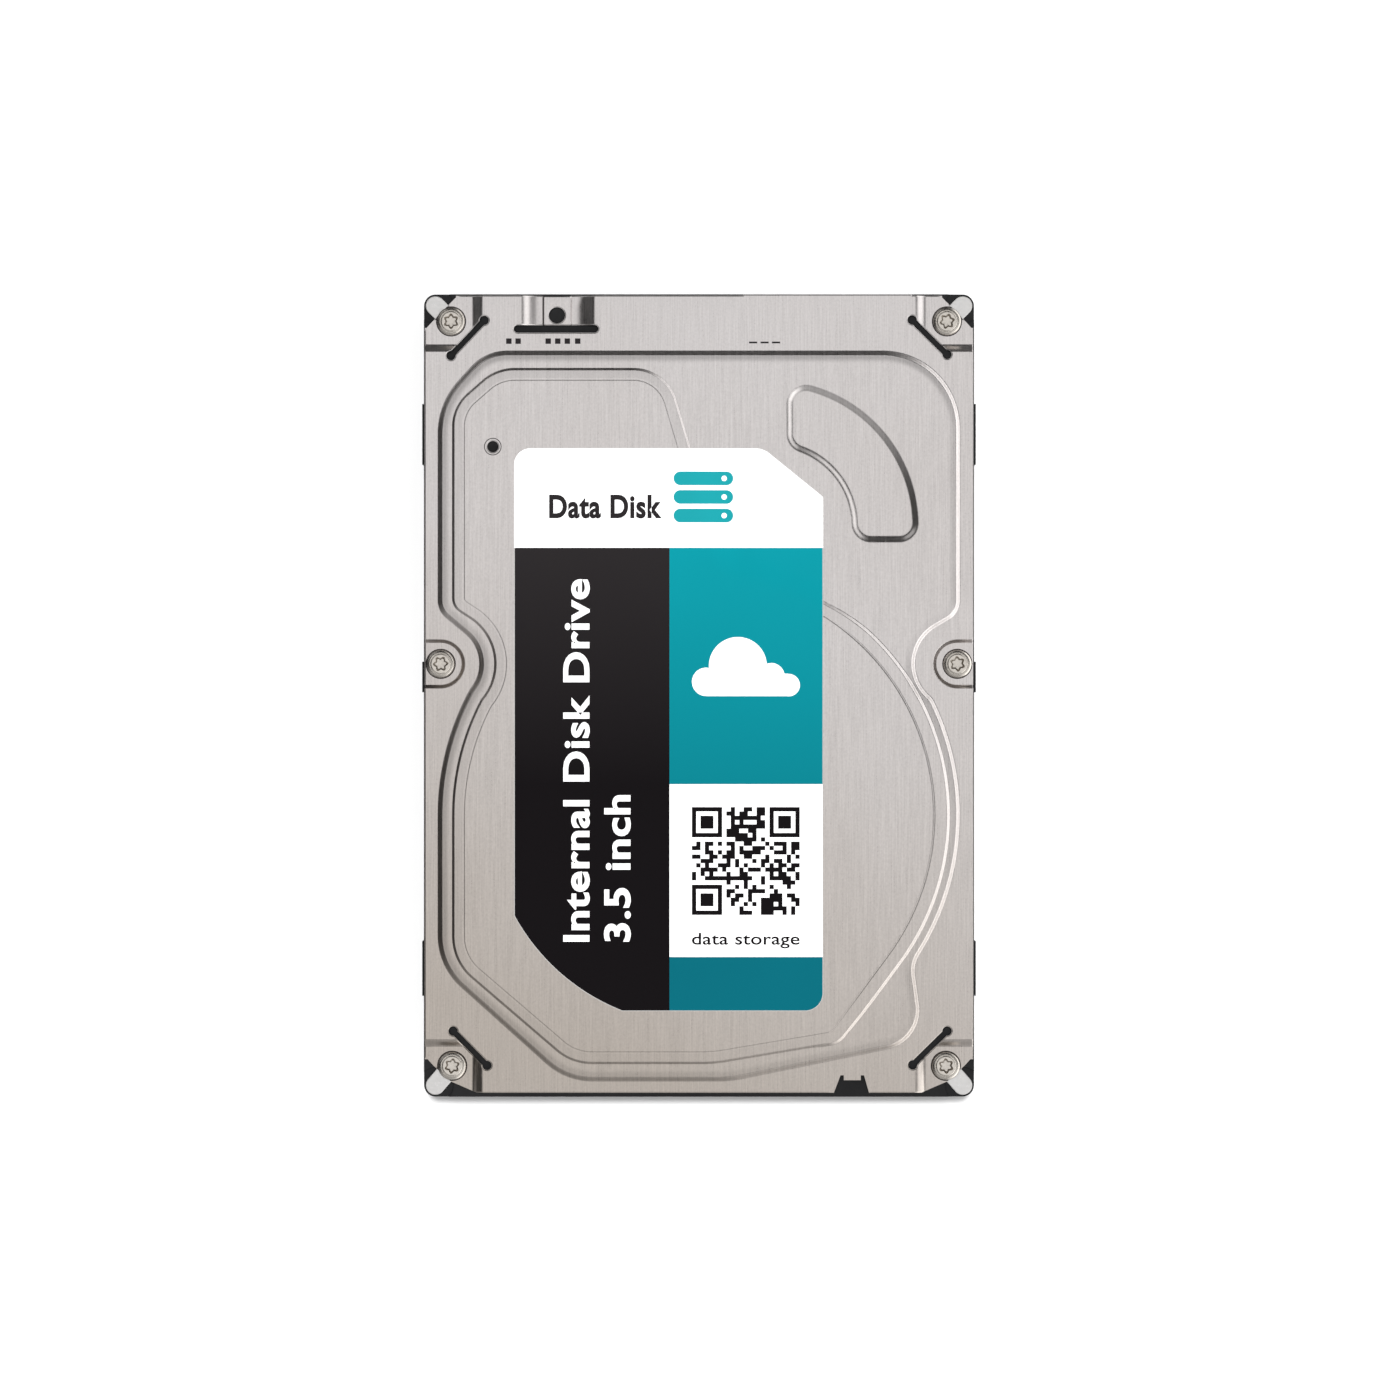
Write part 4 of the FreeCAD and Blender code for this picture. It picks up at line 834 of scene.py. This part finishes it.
# slot: colour, metallic, roughness, grain size in mm, colour spread, relief in mm, edge radius in mm
FINISHES = {
    "amber_plastic": ((0.45, 0.24, 0.06), 0.0, 0.38, 0.8, 0.10, 0.010, 0.10),
    "black_plastic": ((0.012, 0.012, 0.013), 0.0, 0.45, 0.3, 0.25, 0.015, 0.12),
    "carbon_filter": ((0.010, 0.010, 0.010), 0.0, 0.95, 0.15, 0.30, 0.080, 0.20),
    "chip_epoxy": ((0.016, 0.016, 0.018), 0.0, 0.55, 0.2, 0.30, 0.010, 0.08),
    "copper_wire": ((0.62, 0.27, 0.10), 1.0, 0.32, (4.0, 4.0, 0.18), 0.25, 0.050, 0.15),
    "crash_rubber": ((0.02, 0.02, 0.02), 0.0, 0.80, 0.4, 0.30, 0.020, 0.15),
    "desiccant": ((0.62, 0.62, 0.58), 0.0, 0.85, 0.5, 0.08, 0.120, 0.40),
    "disk": ((0.72, 0.72, 0.75), 1.0, 0.06, (20.0, 20.0, 2.0), 0.02, 0.000, 0.05),
    "filter_fabric": ((0.75, 0.74, 0.70), 0.0, 0.90, 0.12, 0.12, 0.080, 0.20),
    "gasket": ((0.015, 0.015, 0.016), 0.0, 0.70, 0.5, 0.25, 0.030, 0.15),
    "gold_contact": ((0.85, 0.58, 0.22), 1.0, 0.25, (0.1, 1.5, 0.1), 0.10, 0.004, 0.04),
    "ground_steel": ((0.48, 0.48, 0.49), 1.0, 0.26, (6.0, 6.0, 0.08), 0.08, 0.004, 0.10),
    "insulator": ((0.04, 0.04, 0.042), 0.0, 0.90, 0.25, 0.35, 0.060, 0.20),
    "lamination": ((0.25, 0.25, 0.27), 1.0, 0.40, (9.0, 9.0, 0.12), 0.40, 0.030, 0.05),
    "machined_aluminium": ((0.66, 0.66, 0.67), 1.0, 0.30, (0.15, 4.0, 0.15), 0.08, 0.006, 0.12),
    "magnet": ((0.56, 0.55, 0.52), 1.0, 0.18, 5.0, 0.06, 0.004, 0.20),
    "polyimide": ((0.42, 0.17, 0.03), 0.0, 0.25, 0.9, 0.20, 0.004, 0.00),
    "rotor_magnet": ((0.05, 0.05, 0.055), 0.0, 0.50, 0.3, 0.30, 0.010, 0.10),
    "screw_steel": ((0.60, 0.56, 0.51), 1.0, 0.27, 0.35, 0.12, 0.004, 0.08),
    "slider_ceramic": ((0.03, 0.03, 0.035), 0.0, 0.25, 0.2, 0.20, 0.002, 0.03),
    "stainless_foil": ((0.60, 0.59, 0.57), 1.0, 0.24, (0.12, 3.0, 0.12), 0.06, 0.003, 0.04),
    "white_plastic": ((0.72, 0.71, 0.65), 0.0, 0.40, 0.9, 0.05, 0.010, 0.10),
    "yoke_steel": ((0.58, 0.58, 0.55), 1.0, 0.20, 8.0, 0.06, 0.004, 0.25),
}


def plain_finish(slot):
    """A finish from the table: one grain that varies the colour and roughness and gives the relief."""
    colour, metallic, roughness, grain_size, spread, relief, edge = FINISHES[slot]
    paint = Paint(slot, colour, metallic, roughness)
    grain = paint.noise(grain_size, 3.0, 0.6)
    paint.vary_colour(grain, 1 - spread, 1 + spread)
    paint.vary_roughness(grain, roughness * 0.85, min(1.0, roughness * 1.2))
    if edge:
        paint.soften_edges(edge)
    if relief:
        paint.bump(grain, relief, 0.6)
    return paint.material


def finishes():
    """Every material that a CAD slot can take, by slot."""
    made = {slot: plain_finish(slot) for slot in FINISHES}
    made["cover_steel"] = cover_steel()
    made["casting"] = casting()
    made["board"] = circuit_board()
    made["label_film"] = printed("label_white", (0.93, 0.93, 0.93))
    return made


# cover

def bend_chains():
    """Lines along each corner bend and each channel side, so that the bends come out smooth."""
    (x0, y0), (x1, y1) = TAB_BENDS
    chains = []
    for screw, slot in zip(CORNER_SCREWS, RELIEF_SLOTS):
        sx = math.copysign(1, screw[0])
        sy = math.copysign(1, screw[1])
        for t in np.linspace(0, 1, 11):
            x = x0 + t * (x1 - x0)
            y = y0 + t * (y1 - y0)
            chains.append([(sx * x, sy * PAST_END), (sx * x, sy * y), (sx * PAST_SIDE, sy * y)])
        chains.append(slot)
    left, right = CHANNEL_SIDES
    for t in np.linspace(-0.7, 1.1, 13):
        chains += [[(x, CHANNEL_START), (x, PAST_END)] for x in (left - t, right + t)]
    return chains


def ink_marks():
    """Small dark squares and dashes printed on the flange."""
    squares = [(x, 64.85, 0.5, 0.5) for x in (-34.8, -33.1, -27.6, -25.85, -24.1, -22.2)]
    dashes = [(x, 64.6, 0.75, 0.16) for x in (9.9, 12.0, 14.1)]
    return [Plate(x - w, x + w, y - h, y + h, 0.05) for x, y, w, h in squares + dashes]


def make_cover(material, ink):
    """The pressed sheet, with lines of the mesh along every edge, dark ink in the marks and painted shadow in
    black ink round each screw head.
    """
    marks = ink_marks()
    ring = [disc(BREATHER, r) for r in BREATHER_RING]
    heads = [disc(p, HEAD_R) for p in CORNER_SCREWS + MIDDLE_SCREWS]
    lines = [
        (BORDER, (0.0, -ROLLOVER / 2, -ROLLOVER)),
        (CUTS, (0.0, ROLLOVER / 2, ROLLOVER)),
        ([STEP], np.linspace(-0.5, 0.5, 11)),
        ([STEP], np.linspace(-2.0, -0.6, 6)),
        ([PLATEAU], (0.95, 0.82, 0.68, 0.54, 0.4, 0.27, 0.15, 0.1, 0.03)),
        ([PLATEAU], (-0.05, -0.13, -0.2, -0.28, -0.36, -0.42)),
        ([PLATEAU], np.linspace(-0.3, 0.3, 9) - CREASE_INSET),
        ([KIDNEY], np.linspace(-0.8, 0.8, 11)),
        (SEATS, (0.65, 0.55, 0.42, 0.3, 0.17, 0.05, -0.08, -0.2, -0.3)),
        ([CHANNEL_BOSS], (0.4, 0.3, 0.2, 0.1, 0.0, -0.1)),
        (DIMPLES, (0.5, 0.4, 0.2, 0.0, -0.2, -0.4, -0.5)),
        (marks, (0.0,)),
        (ring, (0.0,)),
        (heads, (PAINTED_SHADOW_WIDTH,)),
    ]
    loops = [shape.offset(grow) for shapes, grows in lines for shape in shapes for grow in grows]
    points, faces, middle = triangulate(
        loops, bend_chains(), lambda p: (nearest(BORDER, p) < 0) & (nearest(CUTS, p) > 0))
    ink_and_painted_shadow = nearest(marks, middle) < 0
    ink_and_painted_shadow |= (ring[0].distance(middle) > 0) & (ring[1].distance(middle) < 0)
    # a ring of black ink round each screw head is painted shadow, not a real gap
    ink_and_painted_shadow |= nearest(heads, middle) < PAINTED_SHADOW_WIDTH
    piece = add_sheet("cover_pressing", points, faces, cover_height, SHEET, [material, ink], ink_and_painted_shadow.astype(int))
    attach(piece, "housing")
    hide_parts("top_cover")


# label

class Lettering:
    """Outline of a line of plain text of a given length and capital height, upright or reading up."""

    def __init__(self, text, corner, length, capital, weight=0.0, upright=False):
        curve = bpy.data.curves.new("lettering", "FONT")
        curve.body = text
        curve.offset = weight
        curve.space_character = 1.0 + 2 * weight
        curve.resolution_u = 5
        holder = bpy.data.objects.new("lettering", curve)
        bpy.context.scene.collection.objects.link(holder)
        evaluated = holder.evaluated_get(bpy.context.evaluated_depsgraph_get())
        mesh = bpy.data.meshes.new_from_object(evaluated)
        points = np.array([v.co[:2] for v in mesh.vertices])
        corners = np.array([loop.edge_index for loop in mesh.loops])
        edges = np.array([e.vertices[:] for e in mesh.edges])
        rim = edges[np.bincount(corners, minlength=len(edges)) == 1]
        bpy.data.objects.remove(holder)
        bpy.data.curves.remove(curve)
        bpy.data.meshes.remove(mesh)
        left, right = points[:, 0].min(), points[:, 0].max()
        scaled = (points - [left, 0.0]) * [length / (right - left), capital / FONT_CAPITAL]
        if upright:
            scaled = scaled[:, ::-1] * [-1, 1]
        self.start = scaled[rim[:, 0]] + corner
        self.end = scaled[rim[:, 1]] + corner

    def chains(self):
        return list(zip(self.start, self.end))

    def covers(self, points):
        result = np.zeros(len(points), bool)
        run = self.end - self.start
        for first in range(0, len(points), BATCH):
            away = points[first:first + BATCH, None, :] - self.start
            result[first:first + BATCH] = crosses_oddly(away, run)
        return result


def code_cells():
    """A made-up square pattern of light and dark cells with three corner marks. It holds no data."""
    rng = random.Random(5)
    mark = 7
    far = CODE_CELLS - mark
    cells = np.array([[rng.random() < 0.5 for _ in range(CODE_CELLS)] for _ in range(CODE_CELLS)])
    for row0, column0 in ((0, 0), (far, 0), (far, far)):
        for row in range(-1, mark + 1):
            for column in range(-1, mark + 1):
                r = row0 + row
                c = column0 + column
                if 0 <= r < CODE_CELLS and 0 <= c < CODE_CELLS:
                    depth = min(row, column, mark - 1 - row, mark - 1 - column)
                    cells[r, c] = depth == 0 or depth >= 2
    return cells


def code_grid():
    """Grid lines of the square pattern, cut at every crossing."""
    steps = np.linspace(0, CODE_SIZE, CODE_CELLS + 1)
    x = CODE_CORNER[0] + steps
    y = CODE_CORNER[1] + steps
    chains = [[(a, b) for b in y] for a in x]
    chains += [[(a, b) for a in x] for b in y]
    return chains


def code_covers(points, cells):
    place = (points - CODE_CORNER) / (CODE_SIZE / CODE_CELLS)
    inside = (place > 0).all(1) & (place < CODE_CELLS).all(1)
    index = np.clip(place.astype(int), 0, CODE_CELLS - 1)
    return inside & cells[index[:, 1], index[:, 0]]


def cloud_shapes():
    """A rounded cloud: four puffs on a flat base."""
    puffs = [((7.1, 5.4), 5.3), ((1.3, 2.5), 2.6), ((13.2, 3.5), 2.45), ((16.4, 1.9), 2.05)]
    shapes = [disc(centre, r) for centre, r in puffs]
    shapes.append(Plate(1.3, 16.4, -0.12, 4.0, 0.2))
    return shapes


def stack_shapes():
    """A pile of three slabs, each with a pierced dot at its right end, for the header."""
    slabs = [Bar((-3.4, y), (5.0, y), 1.25) for y in SLAB_LEVELS]
    dots = [disc((4.6, y), 0.5) for y in SLAB_LEVELS]
    return slabs, dots


def make_label():
    """The printed film, cut along every shape on it. Returns its black ink."""
    inks = [
        printed("label_white_ink", (0.93, 0.93, 0.93)),
        printed("label_black_ink", (0.0170, 0.0148, 0.0157), (0.0040, 0.0030, 0.0037)),
        printed("label_teal_ink", (0.001, 0.234, 0.278), (0.0005, 0.162, 0.198)),
        printed("label_deep_teal_ink", (0.0005, 0.108, 0.143)),
        printed("label_margin", (0.42, 0.41, 0.40)),
        printed("label_stack_ink", (0.010, 0.270, 0.300)),
    ]
    headline = Lettering("Data Disk", (-27.4, 32.6), 20.6, 4.3, 0.035)
    line_1 = Lettering("Internal Disk Drive", (-20.2, -45.0), 66.3, 4.9, 0.026, True)
    line_2 = Lettering("3.5 inch", (-12.7, -45.0), 26.8, 4.9, 0.026, True)
    caption = Lettering("data storage", (-1.3, -45.5), 19.7, 2.3, 0.012)
    cells = code_cells()
    cloud = cloud_shapes()
    slabs, dots = stack_shapes()
    loops = [LABEL.offset(0.0), LABEL.offset(-LABEL_MARGIN)]
    loops += [PLATEAU.offset(g) for g in (-2.3, -1.5, -0.5, 0.5, 1.5, 2.5, 3.5, 4.2)]
    loops += [shape.offset(0.0) for shape in cloud + slabs + dots]
    chains = code_grid()
    for lettering in (headline, line_1, line_2, caption):
        chains += lettering.chains()
    chains.append([(-40, HEADER_BOTTOM), (40, HEADER_BOTTOM)])
    chains.append([(PANEL_SPLIT, HEADER_BOTTOM), (PANEL_SPLIT, -60)])
    chains += [[(PANEL_SPLIT, y), (40, y)] for y in (TEAL_BOTTOM, CODE_BOTTOM)]
    points, faces, middle = triangulate(loops, chains, lambda p: LABEL.distance(p) < 0)
    x, y = middle.T
    ink = np.full(len(middle), WHITE)
    below = y < HEADER_BOTTOM
    ink[below & (x < PANEL_SPLIT)] = BLACK
    ink[below & (x > PANEL_SPLIT) & (y > TEAL_BOTTOM)] = TEAL
    ink[(x > PANEL_SPLIT) & (y < CODE_BOTTOM)] = DEEP_TEAL
    ink[nearest(cloud, middle) < 0] = WHITE
    ink[code_covers(middle, cells) | headline.covers(middle) | caption.covers(middle)] = BLACK
    ink[line_1.covers(middle) | line_2.covers(middle)] = WHITE
    ink[(nearest(slabs, middle) < 0) & (nearest(dots, middle) > 0)] = STACK
    ink[below & (LABEL.distance(middle) > -LABEL_MARGIN)] = MARGIN
    piece = add_sheet("label_print", points, faces, film_height, FILM, inks, ink)
    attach(piece, "housing")
    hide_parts("label")
    return inks[BLACK]


# screws

# radius, height over the seat, and 1 where the circle is lobed, from the tip round the head to the recess
SCREW_PROFILE = [
    (0.0, -8.0, 0), (1.5, -8.0, 0), (1.5, -0.05, 0), (HEAD_R, -0.05, 0), (HEAD_R, 0.42, 0), (2.56, 0.62, 0),
    (2.46, 0.78, 0), (2.3, 0.9, 0), (2.1, 0.98, 0), (1.98, 1.0, 0), (1.93, 0.96, 0), (1.86, 0.96, 0),
    (1.8, 1.04, 0), (1.68, 1.08, 0), (1.5, 1.1, 0), (1.22, 1.07, 1), (1.18, 1.0, 1), (0.98, 0.2, 1),
    (0.88, 0.1, 1), (0.5, 0.05, 0), (0.0, 0.0, 0),
]
LOBE_DEPTH = 0.155


def screw_mesh(name, centre, seat, turn, material):
    """Pan-head screw, turned profile outside and a six-lobed recess inside."""
    count = 72
    angles = np.linspace(0, 2 * math.pi, count, endpoint=False)
    vertices = []
    for radius, height, lobed in SCREW_PROFILE:
        r = radius * (1 + LOBE_DEPTH * lobed * np.cos(6 * (angles - turn)))
        level = np.full(count, seat + height)
        rows = np.stack([centre[0] + r * np.cos(angles), centre[1] + r * np.sin(angles), level], 1)
        vertices.append(rows if radius else rows[:1])
    return add_object(name, np.concatenate(vertices), ring_faces(vertices), [material], sharp=35.0)


def make_screws(material):
    turns = random.Random(3)
    for i, point in enumerate(CORNER_SCREWS + MIDDLE_SCREWS):
        piece = screw_mesh(f"cover_screw_{i + 1}", point, TAB_TOP, turns.uniform(0, 1), material)
        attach(piece, "housing")
        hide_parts("cover_screws")


# flexible circuit inside, from the actuator's pad to its bracket

def make_ribbon(material):
    """A thin strip on edge: straight off the pad, round one bend and along the bracket's wall."""
    wall = RIBBON_WALL_X
    foot = polar(PIVOT, RIBBON_PAD_REACH, RIBBON_PAD_ANGLE)
    heading = math.radians(RIBBON_PAD_ANGLE - 90)
    bend = (foot[0] + 0.5 * math.cos(heading), foot[1] + 0.5 * math.sin(heading))
    r = (wall - bend[0]) / (1 - math.sin(heading))
    centre = (bend[0] - r * math.sin(heading), bend[1] + r * math.cos(heading))
    path = [np.array(foot) + t * (np.array(bend) - foot) for t in (0.0, 0.5)]
    for h in np.linspace(heading, math.pi / 2, 28):
        path.append(np.array([centre[0] + r * math.sin(h), centre[1] - r * math.cos(h)]))
    path += [np.array([wall, y]) for y in np.linspace(centre[1] + 0.8, RIBBON_WALL_END, 12)]
    path = np.array(path)
    ahead = np.gradient(path, axis=0)
    ahead /= np.linalg.norm(ahead, axis=1)[:, None]
    side = RIBBON_HALF_THICKNESS * np.stack([-ahead[:, 1], ahead[:, 0]], 1)
    count = len(path)
    vertices = []
    for offset in (side, -side):
        for z in RIBBON_LEVELS:
            vertices += [(x, y, z) for x, y in path + offset]
    faces = []
    rows = len(RIBBON_LEVELS)
    back = rows * count
    for k in range(rows - 1):
        for i in range(count - 1):
            a = k * count + i
            quad = (a, a + 1, a + 1 + count, a + count)
            faces.append(quad[::-1])
            faces.append(tuple(v + back for v in quad))
    for i in range(count - 1):
        top = (rows - 1) * count + i
        faces.append((i, i + 1, back + i + 1, back + i))
        faces.append((top + 1, top, back + top, back + top + 1))
    for k in range(rows - 1):
        for i in (0, count - 1):
            a = k * count + i
            faces.append((a, a + count, back + a + count, back + a))
    piece = add_object("actuator_ribbon", vertices, faces, [material], sharp=60.0)
    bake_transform(piece)
    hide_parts("actuator_flex")


# studio

def make_floor():
    """A wide white disc that takes the shadow and isn't seen in reflections."""
    paint = Paint("studio_floor", (0.82, 0.82, 0.82), 0.0, 0.9, 0.1)
    paint.vary_colour(paint.noise(400.0, 1.0), 0.99, 1.01)
    count = 96
    angles = np.linspace(0, 2 * math.pi, count, endpoint=False)
    level = np.full(count, FLOOR_LEVEL)
    rings = [np.stack([r * np.cos(angles), r * np.sin(angles), level], 1) for r in FLOOR_RADII]
    rings.append(np.array([[0, 0, FLOOR_LEVEL]]))
    floor = add_object("studio_floor", np.concatenate(rings), ring_faces(rings), [paint.material])
    floor.visible_glossy = False


def make_key_light():
    """Soft light from nearly overhead, which leaves a narrow shadow at the disks' end."""
    light = bpy.data.lights.new("key_light", "SUN")
    light.energy = KEY_ENERGY
    light.angle = math.radians(KEY_SPREAD)
    holder = bpy.data.objects.new("key_light", light)
    holder.rotation_euler = Vector(KEY_FROM).to_track_quat("Z", "Y").to_euler()
    holder.visible_glossy = False
    bpy.context.scene.collection.objects.link(holder)


def make_world():
    """Bright overhead and to the right, softer in front, dark to the left and behind.

    A low strip lies behind on the left. The camera itself sees plain white.
    """
    world = bpy.data.worlds.new("studio")
    bpy.context.scene.world = world
    world.use_nodes = True
    nodes = world.node_tree.nodes
    links = world.node_tree.links
    background = nodes["Background"]
    direction = nodes.new("ShaderNodeTexCoord").outputs["Generated"]
    split = nodes.new("ShaderNodeSeparateXYZ")
    links.new(direction, split.inputs["Vector"])

    def ramp(source, stops):
        node = nodes.new("ShaderNodeValToRGB")
        node.color_ramp.interpolation = "EASE"
        while len(node.color_ramp.elements) < len(stops):
            node.color_ramp.elements.new(0.5)
        for element, (place, level) in zip(node.color_ramp.elements, stops):
            element.position = place
            element.color = (level, level, level, 1.0)
        links.new(source, node.inputs["Fac"])
        return node.outputs["Color"]

    def combine(operation, a, b):
        return math_node(world.node_tree, operation, a, b)

    height = split.outputs["Z"]
    heading = combine("ARCTAN2", split.outputs["Y"], split.outputs["X"])
    turn = combine("ADD", combine("DIVIDE", heading, 2 * math.pi), 0.5)
    side = combine("MULTIPLY", ramp(turn, SIDE_TURN), SIDE_LEVEL)
    side = combine("MULTIPLY", side, ramp(height, SIDE_HEIGHT))
    front_right = combine("MAXIMUM", ramp(turn, FRONT_TURN), ramp(turn, RIGHT_TURN))
    front_right = combine("MULTIPLY", front_right, ramp(height, FRONT_RIGHT_HEIGHT))
    back = combine("MULTIPLY", ramp(turn, BACK_TURN), ramp(height, BACK_HEIGHT))
    around = combine("ADD", combine("ADD", side, front_right), back)
    overhead = combine("MULTIPLY", ramp(height, OVERHEAD_HEIGHT), OVERHEAD_LEVEL)
    total = combine("ADD", overhead, around)
    seen = nodes.new("ShaderNodeLightPath").outputs["Is Camera Ray"]
    links.new(combine("MAXIMUM", total, seen), background.inputs["Strength"])
    background.inputs["Color"].default_value = (1.0, 1.0, 1.0, 1.0)


def make_camera():
    """Square on to the cover, from far enough away to be nearly without perspective."""
    camera = bpy.data.cameras.new("camera")
    camera.sensor_width = CAMERA_SENSOR
    camera.lens = CAMERA_LENS
    camera.clip_start = 0.05
    camera.clip_end = 30.0
    holder = bpy.data.objects.new("camera", camera)
    holder.location = CAMERA_PLACE
    bpy.context.scene.collection.objects.link(holder)
    bpy.context.scene.camera = holder


def paint_nodes(made):
    """Gives every CAD node the finish of its slot, and the breather filter a black carbon core, which also
    stands in as painted shade for the dark inside of the breather hole.
    """
    for part in frame["record"]["subparts"]:
        # the filter's black carbon finish is partly its real core and partly painted shade inside the breather
        # hole
        finish = "carbon_filter" if part["node"] == "breather_filter" else part["material_slot"]
        for slot in frame["nodes"][part["node"]].material_slots:
            slot.material = made[finish]


def main():
    bpy.context.scene.view_settings.view_transform = "Standard"
    made = finishes()
    paint_nodes(made)
    black = make_label()
    make_cover(made["cover_steel"], black)
    make_screws(made["screw_steel"])
    make_ribbon(made["polyimide"])
    make_floor()
    make_world()
    make_key_light()
    make_camera()


main()
